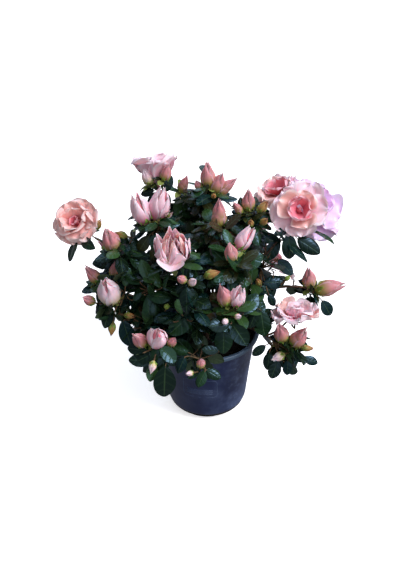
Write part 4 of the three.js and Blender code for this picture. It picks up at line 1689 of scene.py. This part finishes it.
PLACED_LEAVES = {
    "front_leaves": (
        ((0.2, 0.55, 0.85), (-0.05, -0.35, -0.9), 39, LeafTint.BOTTLE),
    ),
    "front_left": (
        ((-0.15, -0.1, -0.15), (-0.85, -0.25, -0.35), 21, LeafTint.BOTTLE),
        ((0.2, -0.05, -0.05), (0.1, -0.55, -0.6), 23, LeafTint.DEEP),
    ),
    "front_low": (
        ((-0.75, 0.2, 0.35), (-0.35, -0.45, -0.7), 21, LeafTint.BLUISH),
        ((-0.55, 0.7, 0.2), (-0.9, 0.1, 0.3), 18, LeafTint.MID),
        ((0.35, -0.2, -0.25), (-0.35, -0.5, -0.6), 18, LeafTint.MID),
        ((0.4, -0.15, -0.2), (0.8, -0.3, -0.35), 18, LeafTint.DEEP),
        ((1.1, 0.4, 0.6), (-0.9, -0.1, 0.2), 18, LeafTint.BOTTLE),
    ),
    "front": (
        ((-0.45, -0.25, -0.3), (0.0, -0.5, -0.8), 31, LeafTint.DEEP),
        ((1.15, 0.45, -0.1), (0.15, -0.45, -0.85), 27, LeafTint.DEEP),
        ((1.0, 0.4, 0.0), (-0.35, -0.45, -0.8), 24, LeafTint.BOTTLE),
    ),
    "centre_low": (
        ((0.2, -0.05, -0.05), (-0.75, -0.4, -0.5), 32, LeafTint.MID),
        ((0.0, 0.05, 1.0), (0.0, -0.55, -0.8), 30, LeafTint.BOTTLE),
    ),
    "left": (
        ((0.7, -0.2, -0.25), (0.75, 0.3, 0.45), 30, LeafTint.MID),
    ),
    "upper_left": (
        ((-0.1, -0.3, -0.55), (0.3, -0.5, -0.7), 24, LeafTint.DEEP),
        ((-0.25, -0.3, -0.6), (-0.5, -0.4, -0.6), 23, LeafTint.OLIVE),
        ((0.1, -0.3, -0.5), (0.8, -0.2, -0.4), 22, LeafTint.BOTTLE),
    ),
    "left_low": (
        ((-0.7, 0.1, 0.1), (0.25, -0.4, -0.85), 34, LeafTint.BLUISH),
    ),
    "top_left": (
        ((0.3, -0.5, -0.25), (0.25, 0.1, 0.95), 19, LeafTint.BOTTLE, (-0.1, -0.9, 0.3)),
        ((0.0, -0.35, -0.3), (0.6, -0.3, -0.5), 20, LeafTint.DEEP),
        ((-0.1, -0.35, -0.35), (-0.35, -0.45, -0.7), 22, LeafTint.BOTTLE),
        ((-0.2, -0.3, -0.3), (-0.9, -0.1, -0.2), 17, LeafTint.BOTTLE),
    ),
    "right_bloom": (
        ((-0.05, -0.45, -0.5), (0.75, -0.3, -0.35), 30, LeafTint.BOTTLE),
        ((-0.35, -0.3, -0.35), (0.05, -0.55, -0.75), 30, LeafTint.DEEP),
    ),
    "right_side": (
        ((0.35, 0.05, 0.05), (0.6, -0.3, -0.5), 24, LeafTint.BLUISH),
        ((-0.2, -0.6, -0.75), (0.95, 0.0, 0.1), 26, LeafTint.BLUISH),
        ((0.4, 0.6, 0.7), (-0.55, -0.5, -0.6), 27, LeafTint.DEEP),
        ((0.0, -0.9, -1.15), (0.45, -0.4, -0.75), 16, LeafTint.BLUISH),
        ((-0.3, -0.7, -0.85), (0.85, -0.2, -0.4), 14, LeafTint.DEEP),
    ),
    "far_right": (
        ((0.1, -0.25, -0.3), (0.5, -0.4, -0.65), 22, LeafTint.BLUISH),
    ),
    "low_right": (
        ((-0.5, -0.05, -0.05), (-0.1, -0.5, -0.8), 22, LeafTint.BOTTLE),
        ((0.15, -0.25, -0.3), (0.0, -0.55, -0.8), 18, LeafTint.BLUISH),
        ((0.7, -0.15, -0.25), (0.9, -0.2, -0.25), 19, LeafTint.BLUISH),
        ((-0.65, 0.1, 0.15), (-0.75, -0.3, -0.5), 18, LeafTint.BOTTLE),
    ),
}
LONE_LEAVES = tuple(LoneLeaf("mass_" + mass, *row) for mass, rows in PLACED_LEAVES.items() for row in rows)
BACK_SHARES = {Stage.DOUBLE: 0.16, Stage.OPEN: 0.12, Stage.BURST: 0.24, Stage.PLUMP: 0.28, Stage.POINTED: 0.2}
THINNED = {  # share of the usual filling shoots, in masses with open or listed foliage
    "mass_front_leaves": 0.0,
    "mass_front_low": 0.0,
    "mass_front_left": 0.3,
    "mass_low_right": 0.3,
    "mass_low_bloom": 0.3,
    "mass_far_right": 0.0,
    "mass_right_side": 0.5,
    "mass_left_bloom": 0.4,
}


@dataclass(frozen=True)
class Clearing:
    """A place that the seeded leaves keep off, and keep the light to. Metres."""

    middle: Array
    radius: float
    start: float  # how far towards the light it starts from its middle
    depth: float = 70 * MM  # how far towards the light it runs
    core: float = 0.9  # share of its radius that is kept clear

    def hides(self, points: Array) -> Array:
        """Which of these places (n, 3) are in it."""
        light = unit(np.array(FRONT))
        off = points - self.middle
        ahead = off @ light
        beside = np.linalg.norm(off - ahead[:, None] * light, axis=1)
        return (ahead > self.start) & (ahead < self.depth) & (beside < self.core * self.radius)


@dataclass
class Crown:
    """Twigs, leaves and blossom, grown in each mass of foliage by a seeded rule.

    Each flower ends a shoot, and more shoots fill the mass. A shoot's leaves go round it by the
    golden angle, from small young ones at its tip to large ones that spread below.
    """

    leaf: BladeForm = BladeForm(8, 4, 1.2, 0.68, 0.5 * MM)
    lone_leaf: BladeForm = BladeForm(18, 8, 1.05, 0.6, 0.5 * MM)
    twig_lattice: Lattice = Lattice(7, 6)
    fill_density: float = 9 / (28 * MM) ** 3  # shoots for a mass of that half size
    spare_ways: int = 3  # ways out of a mass that are left to its branch
    head_tries: int = 5  # seeded flowers and buds tried on each mass at the back
    flower_sizes: tuple[float, float] = (44, 54)  # of those, in millimetres
    bud_sizes: tuple[float, float] = (25, 34)
    least_head: float = 12.0  # size of the smallest flower or bud that ends a leafy shoot
    large_head: float = 20.0  # size above which it has a full one, and a ruff of young leaves
    full_shoot: tuple[int, float] = (8, 0.82)  # leaves, and their length beside the usual
    slight_shoot: tuple[int, float] = (5, 0.66)
    inner_shoots: int = 3  # on the outer half of each bough
    inner_leaves: int = 7
    ruff: int = 6
    leaf_sizes: tuple[float, float] = (23 * MM, 32 * MM)
    tint_from: float = 0.13  # height from which leaves turn from the low tints to the high
    tint_rise: float = 0.11  # over which they turn
    leaf_stations: tuple[float, ...] = (0.3, 0.6, 0.95)  # shares of a leaf that must have room
    least_leaf: float = 0.4  # share of its length that a leaf keeps when it is shortened
    back_from: float = 0.025  # depth at which the back quarters start
    overhang: float = 7 * MM  # how far leaves may pass the frame's box
    open_compost: Triple = (0.034, -0.036, 0.108)  # where the compost and rim show
    rng: np.random.Generator = field(default_factory=lambda: np.random.default_rng(SEED))
    blossom: Blossom = field(default_factory=Blossom)

    def heads(self, masses: list[str]) -> list[Head]:
        """The flowers and buds that are listed, and seeded ones on the masses at the back."""
        found = list(HEADS)
        for name in masses:
            if not name.startswith("mass_back") or name == "mass_back_top":
                continue
            outward = unit(box_of(name)[0] * np.array([1, 1, 0]))
            for _ in range(self.head_tries):
                stage = list(BACK_SHARES)[self.rng.choice(len(BACK_SHARES), p=list(BACK_SHARES.values()))]
                facing = unit(outward * 0.8 + UP * 0.7 + self.rng.normal(0, 0.25, 3))
                place = facing * 0.5 + self.rng.normal(0, 0.15, 3)
                # Towards the back of its mass, and below the middle.
                place[1:] = abs(place[1:]) * (1.0, -0.6) + (0.35, 0.0)
                size = self.rng.uniform(*(self.flower_sizes if stage in BLOOMS else self.bud_sizes))
                head = Head(name, stage, tuple(place), float(size), tuple(facing))
                beyond = np.maximum(head.middle - CAD_BOX[1], np.array(CAD_BOX[0]) - head.middle).max()
                gaps = [np.linalg.norm(head.middle - other.middle) - other.radius for other in found]
                if min(gaps) > head.radius and beyond + head.radius < 2 * self.overhang:
                    found.append(head)
        return found

    def leaf_tint(self, place: Array) -> LeafTint:
        """A tint for a shoot's leaves: darker and bluer low down, olive and bronze higher up, partly as
        painted shade and sky sheen below and painted light above.
        """
        high = np.clip((place[2] - self.tint_from) / self.tint_rise, 0, 1)
        shares = np.array(LOW_SHARES) * (1 - high) + np.array(HIGH_SHARES) * high
        return LeafTint(self.rng.choice(len(shares), p=shares))

    def shoots(self, masses: list[str], heads: list[Head], wood: Framework) -> list[Shoot]:
        """Plans the shoots of every mass and bough.

        Args:
            masses: The frame's mass nodes.
            heads: The flowers and buds.
            wood: The boughs, and the hubs at which each mass's branch ends.

        Returns:
            A shoot under each flower and larger bud, then the ones that fill the masses, then the
            ones on the boughs.
        """
        planned = []
        for head in heads:
            if head.size < self.least_head:
                continue
            tip = head.foot - head.axis * (5 if head.is_open else 2) * MM
            leaves, share = self.full_shoot if head.size > self.large_head else self.slight_shoot
            size = self.rng.uniform(*self.leaf_sizes) * share
            tint = self.leaf_tint(tip)
            hub = wood.hubs[head.mass]
            planned.append(Shoot(tip, head.axis, hub, leaves, size, tint, spread=64, flowering=True))
        for name in masses:
            middle, half = box_of(name)
            hub = wood.hubs[name]
            growth = unit(middle - hub + 1e-6)
            fill = round(self.fill_density * float(np.prod(half)) * THINNED.get(name, 1.0))
            count = fill + self.spare_ways
            # Ways spread evenly over a sphere, of which those that face back to the hub are left out.
            number = np.arange(count) + 0.5
            rise = 1 - 2 * number / count
            turn = number * GOLDEN_TURN + self.rng.uniform(0, 2 * np.pi)
            flat = np.sqrt(1 - rise**2)
            ways = np.stack([flat * np.cos(turn), flat * np.sin(turn), rise], -1)
            for way in ways[np.argsort(-ways @ (growth + 0.4 * UP))][:fill]:
                reach = 1 / np.linalg.norm(way / half)
                tip = middle + way * reach * self.rng.uniform(0.36, 0.6)
                axis = unit(way * 0.8 + growth * 0.4 + UP * 0.5 + self.rng.normal(0, 0.15, 3))
                size, leaves = self.rng.uniform(*self.leaf_sizes), int(self.rng.integers(6, 9))
                planned.append(Shoot(tip, axis, hub, leaves, size, self.leaf_tint(tip)))
        for limb in wood.boughs:
            shares = np.linspace(0.55, 0.95, self.inner_shoots)
            for foot in limb.middle(shares[None])[0]:
                way = unit(self.rng.normal(0, 1, 3) + UP * 0.6)
                tip = foot + way * self.rng.uniform(12, 22) * MM
                size = self.rng.uniform(*self.leaf_sizes)
                axis = unit(way + UP * 0.5)
                planned.append(Shoot(tip, axis, foot, self.inner_leaves, size, self.leaf_tint(tip)))
        return planned

    def ruffs(self, heads: list[Head]) -> tuple[Blades, Array]:
        """The small young leaves that stand round the foot of each large bud and flower.

        Args:
            heads: The flowers and buds.

        Returns:
            The leaves, and each one's tile in the colour map.
        """
        large = [head for head in heads if head.size > self.large_head]
        owner = np.repeat(np.arange(len(large)), self.ruff)
        rank = np.tile(np.arange(self.ruff), len(large))
        n = len(owner)
        axis, foot = (values[owner] for values in gathered(large, "axis", "foot"))
        turn = 2 * np.pi * rank / self.ruff + self.rng.uniform(0, 2 * np.pi, n) * 0.25
        along, face = round_axis(axis, np.radians(self.rng.uniform(52, 88, n)), turn)
        blades = Blades(
            base=foot - axis * self.rng.uniform(0, 3, n)[:, None] * MM,
            along=along,
            face=face,
            length=self.rng.uniform(9, 17, n) * MM,
            width=self.rng.uniform(0.17, 0.24, n),
            curl=self.rng.uniform(0.0, 0.7, n),
            cup=self.rng.uniform(0.1, 0.5, n),
            ruffle=np.zeros(n),
            phase=np.zeros(n),
            twist=self.rng.normal(0, 0.2, n),
        )
        shares = {LeafTint.FRESH: 0.3, LeafTint.YOUNG: 0.5, LeafTint.OLIVE: 0.2}
        return blades, self.rng.choice(list(shares), n, p=list(shares.values()))

    def leaves(self, shoots: list[Shoot]) -> tuple[Blades, Array, Array]:
        """Deals out the leaves of all the shoots.

        Args:
            shoots: The shoots.

        Returns:
            The leaves, each one's tile in the colour map, and the number of its shoot.
        """
        (counts,) = gathered(shoots, "leaves")
        owner = np.repeat(np.arange(len(shoots)), counts)
        rank = np.arange(len(owner)) - np.repeat(np.cumsum(counts) - counts, counts)
        age = (rank + 0.5) / counts[owner]
        n = len(owner)
        tip, axis, spread, length, tint = (
            values[owner] for values in gathered(shoots, "tip", "axis", "spread", "leaf", "tint")
        )
        turn = rank * GOLDEN_TURN + self.rng.uniform(0, 2 * np.pi, len(shoots))[owner]
        tilt = np.radians(spread + (100 - spread) * age + self.rng.normal(0, 8, n))
        along, inward = round_axis(axis, tilt, turn)
        along = unit(along - UP * 0.22 * age[:, None])
        by_age = 0.55 + 0.45 * np.sin(np.pi * (0.12 + 0.72 * age))
        length = length * by_age * self.rng.uniform(0.85, 1.12, n)
        # Leaves are narrower high up.
        high = np.clip((tip[:, 2] - 0.15) / 0.07, 0, 1)
        blades = Blades(
            base=tip - axis * (1 + 11 * age[:, None]) * MM + along * 0.6 * MM,
            along=along,
            face=unit(inward * 0.75 + UP * 0.6),
            length=length,
            width=self.rng.uniform(0.24, 0.32, n) * (1 - 0.26 * high),
            curl=self.rng.uniform(0.05, 0.75, n),
            cup=self.rng.uniform(-0.3, 0.3, n),
            ruffle=self.rng.uniform(0.0, 0.02, n),
            phase=self.rng.uniform(0, 2 * np.pi, n),
            twist=self.rng.normal(0, 0.22, n),
        )
        young = (age < 0.2) & (self.rng.uniform(size=n) < 0.3)
        return blades, np.where(young, LeafTint.FRESH, tint), owner

    def lone_leaves(self) -> tuple[Blades, Array]:
        """The listed leaves, and each one's tile in the colour map."""
        n = len(LONE_LEAVES)
        place, way, face, length, tint = gathered(LONE_LEAVES, "place", "way", "face", "length", "tint")
        middle, half = np.array([box_of(leaf.mass) for leaf in LONE_LEAVES]).transpose(1, 0, 2)
        blades = Blades(
            base=middle + half * place,
            along=unit(way),
            face=unit(face),
            length=length * MM,
            width=self.rng.uniform(0.25, 0.3, n),
            curl=self.rng.uniform(0.2, 0.7, n),
            cup=self.rng.uniform(-0.4, 0.1, n),
            ruffle=self.rng.uniform(0.0, 0.015, n),
            phase=self.rng.uniform(0, 2 * np.pi, n),
            twist=self.rng.normal(0, 0.12, n),
        )
        return blades, tint

    def clearings(self, heads: list[Head], lone: Blades) -> list[Clearing]:
        """The places that the seeded leaves keep off.

        Args:
            heads: The flowers and buds.
            lone: The listed leaves.

        Returns:
            A clearing for each flower and bud, for the middle of each of those leaves, for the
            foot of a deep cup, and for the compost where it shows.
        """
        found = [Clearing(head.middle, head.radius, -0.6 * head.radius) for head in heads]
        middles = lone.base + lone.along * lone.length[:, None] / 2
        found += [Clearing(place, 0.42 * length, 2 * MM) for place, length in zip(middles, lone.length)]
        found += [Clearing(head.foot, 16 * MM, -6 * MM) for head in heads if head.stage is Stage.CUP]
        found.append(Clearing(np.array(self.open_compost), 20 * MM, 0.0))
        return found

    def kept(self, blades: Blades, clearings: list[Clearing]) -> Array:
        """Which leaves have room: a leaf is shed where it reaches into the pot or a clearing.

        Args:
            blades: The leaves.
            clearings: The places to keep off.

        Returns:
            A flag for each leaf.
        """
        keep = np.ones(len(blades.base), bool)
        half = box_of("pot")[1]
        rim, top = half[0] + 1 * MM, 2 * half[2] + 1 * MM
        for share in self.leaf_stations:
            point = blades.base + blades.along * (blades.length * share)[:, None]
            point = point - UP * (blades.curl * blades.length * share**2 / 3)[:, None]
            keep &= (np.linalg.norm(point[:, :2], axis=1) >= rim) | (point[:, 2] >= top)
            for clearing in clearings:
                keep &= ~clearing.hides(point)
        return keep

    def twig(self, twigs: Growth, start: Array, knee: Array, end: Array, foot: float, tip: float) -> None:
        """Adds twigs, all of one thickness.

        Args:
            twigs: What they are added to.
            start: Where each starts, (n, 3).
            knee: What each bends towards.
            end: Where each ends.
            foot: Their radius at the start.
            tip: Their radius at the end.
        """
        n = len(start)
        limbs = Limbs(start, knee, end, np.full(n, foot), np.full(n, tip))
        twigs.add(limbs.points(self.twig_lattice, 0.12), self.twig_lattice)

    def fitted(self, blades: Blades) -> None:
        """Shortens the leaves that would pass the frame's box by more than the overhang."""
        low, high = (np.array(corner) for corner in CAD_BOX)
        span = blades.along * blades.length[:, None]
        room = np.where(span > 0, high + self.overhang - blades.base, blades.base - low + self.overhang)
        share = (room / np.maximum(np.abs(span), 1e-9)).min(1)
        blades.length = blades.length * np.clip(share, self.least_leaf, 1)

    def build(self, masses: list[str], wood: Framework, twigs: Growth) -> None:
        """Grows the crown and makes its pieces.

        Args:
            masses: The frame's mass nodes.
            wood: The stem, boughs and branches.
            twigs: The branches, to which the twigs are added.
        """
        heads = self.heads(masses)
        shoots = self.shoots(masses, heads, wood)
        blades, tint, owner = self.leaves(shoots)
        self.fitted(blades)
        lone, lone_tint = self.lone_leaves()
        keep = self.kept(blades, self.clearings(heads, lone))
        leafy = np.bincount(owner[keep], minlength=len(shoots)) > 1
        leafy |= np.array([shoot.flowering for shoot in shoots])
        tips, axes, feet = (values[leafy] for values in gathered(shoots, "tip", "axis", "hub"))
        gap = np.linalg.norm(tips - feet, axis=1)
        self.twig(twigs, feet, tips - axes * 0.4 * gap[:, None], tips, 1.0 * MM, 0.7 * MM)
        for number, head in enumerate(heads):
            self.blossom.add(head, np.random.default_rng([SEED, number]))
        foot, axis = gathered(heads, "foot", "axis")
        self.twig(twigs, foot - axis * 7 * MM, foot - axis * 3 * MM, foot + axis * 1 * MM, 0.8 * MM, 1.2 * MM)
        feet = np.array([wood.hubs[leaf.mass] for leaf in LONE_LEAVES])
        before, inside = lone.base - lone.along * 4 * MM, lone.base + lone.along * 1 * MM
        self.twig(twigs, feet, before, inside, 0.9 * MM, 0.5 * MM)
        twigs.build(wood.young_bark.material(), "bark", [])
        ruffs, ruff_tint = self.ruffs(heads)
        points = np.concatenate([blades.points(self.leaf)[keep], ruffs.points(self.leaf)])
        tint = np.concatenate([tint[keep], ruff_tint])
        sector = self.sector(np.concatenate([blades.base[keep], ruffs.base]))
        lone_sector, lone_points = self.sector(lone.base), lone.points(self.lone_leaf)
        mass_sector = self.sector(np.array([box_of(name)[0] for name in masses]))
        cuticle = WaxedLeaf().material()
        for number, name in enumerate(("front_left", "front_right", "back_left", "back_right")):
            chosen, lone_chosen = sector == number, lone_sector == number
            grown = Growth("leaves_" + name, mapped=True)
            grown.add(points[chosen], self.leaf.lattice(), tint[chosen])
            grown.add(lone_points[lone_chosen], self.lone_leaf.lattice(), lone_tint[lone_chosen])
            grown.build(cuticle, "foliage", [m for m, k in zip(masses, mass_sector) if k == number])
        log.info("%d twigs, %d leaves, %d flowers and buds", leafy.sum(), len(points), len(heads))
        self.blossom.build()

    def sector(self, places: Array) -> Array:
        """The quarter of the crown that each place (n, 3) is in: 0 and 1 in front, 2 and 3 behind."""
        return 2 * (places[:, 1] > self.back_from).astype(int) + (places[:, 0] > 0)


# ------------------ studio
@dataclass(frozen=True)
class Sun:
    """A soft far light: the way from the plant to it, its watts per square metre, colour and width."""

    name: str
    towards: Triple
    strength: float
    colour: str
    width: float  # its angular size, in degrees

    def build(self) -> None:
        """Makes the light."""
        light = bpy.data.lights.new(self.name, "SUN")
        light.energy, light.angle = self.strength, math.radians(self.width)
        light.color = linear(self.colour)[:3]
        lamp = put(self.name, light)
        lamp.rotation_euler = Vector(self.towards).to_track_quat("Z", "Y").to_euler()


@dataclass
class Studio:
    """A plain pale floor, soft light and the camera. Metres."""

    camera: Triple = (-0.0085, -0.7235, 0.6998)
    target: Triple = (-0.0085, 0.0, 0.1645)
    lens: float = 51.28
    floor_half: float = 30.0
    floor_glow: float = 0.6
    suns: tuple[Sun, ...] = (
        Sun("key", (0.85, -0.2, 0.95), 3.2, "#fbfaff", 30),
        Sun("sky", (-0.1, 0.8, 0.8), 1.6, "#d6e5ff", 60),
        Sun("fill", (0.55, -0.75, 0.75), 1.3, "#fff6f4", 80),
    )

    def floor(self) -> None:
        """A broad matt sheet that glows faintly, level with the pot's underside.

        The plant neither mirrors it nor is lit by it.
        """
        mesh = bpy.data.meshes.new("floor")
        half = self.floor_half
        corners = [(-half, -half, 0), (half, -half, 0), (half, half, 0), (-half, half, 0)]
        mesh.from_pydata(corners, [], [(0, 1, 2, 3)])
        sheet = put("floor", mesh)
        paper = Pattern("white_paper")
        paper.shade({"Base Color": "#f2f2f2", "Roughness": 1.0})
        paper.shade({"Emission Color": "#ffffff", "Emission Strength": self.floor_glow})
        mesh.materials.append(paper.material)
        sheet.visible_glossy = False
        sheet.visible_diffuse = False

    def world(self, colour: str, strength: float) -> None:
        """An even dim surround."""
        world = bpy.data.worlds.new("studio")
        world.use_nodes = True
        background = world.node_tree.nodes["Background"]
        background.inputs["Color"].default_value = linear(colour)
        background.inputs["Strength"].default_value = strength
        bpy.context.scene.world = world

    def build(self) -> None:
        """Makes the floor, the lights and the camera."""
        self.floor()
        for sun in self.suns:
            sun.build()
        self.world("#f4f7ff", 0.25)
        camera = bpy.data.cameras.new("camera")
        camera.lens = self.lens
        eye = put("camera", camera)
        eye.location = self.camera
        away = Vector(self.camera) - Vector(self.target)
        eye.rotation_euler = away.to_track_quat("Z", "Y").to_euler()
        bpy.context.scene.camera = eye
        bpy.context.scene.view_settings.view_transform = "Standard"


def main() -> None:
    """Builds the plant and its studio."""
    logging.basicConfig(level=logging.INFO, format="%(name)s: %(message)s")
    boughs = sorted(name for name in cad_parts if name.startswith("bough_"))
    masses = sorted(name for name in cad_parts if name.startswith("mass_"))
    Studio().build()
    NurseryPot().build()
    Compost().build()
    wood = Framework()
    twigs = wood.build(boughs, masses)
    Crown().build(masses, wood, twigs)


if __name__ == "__main__":
    main()
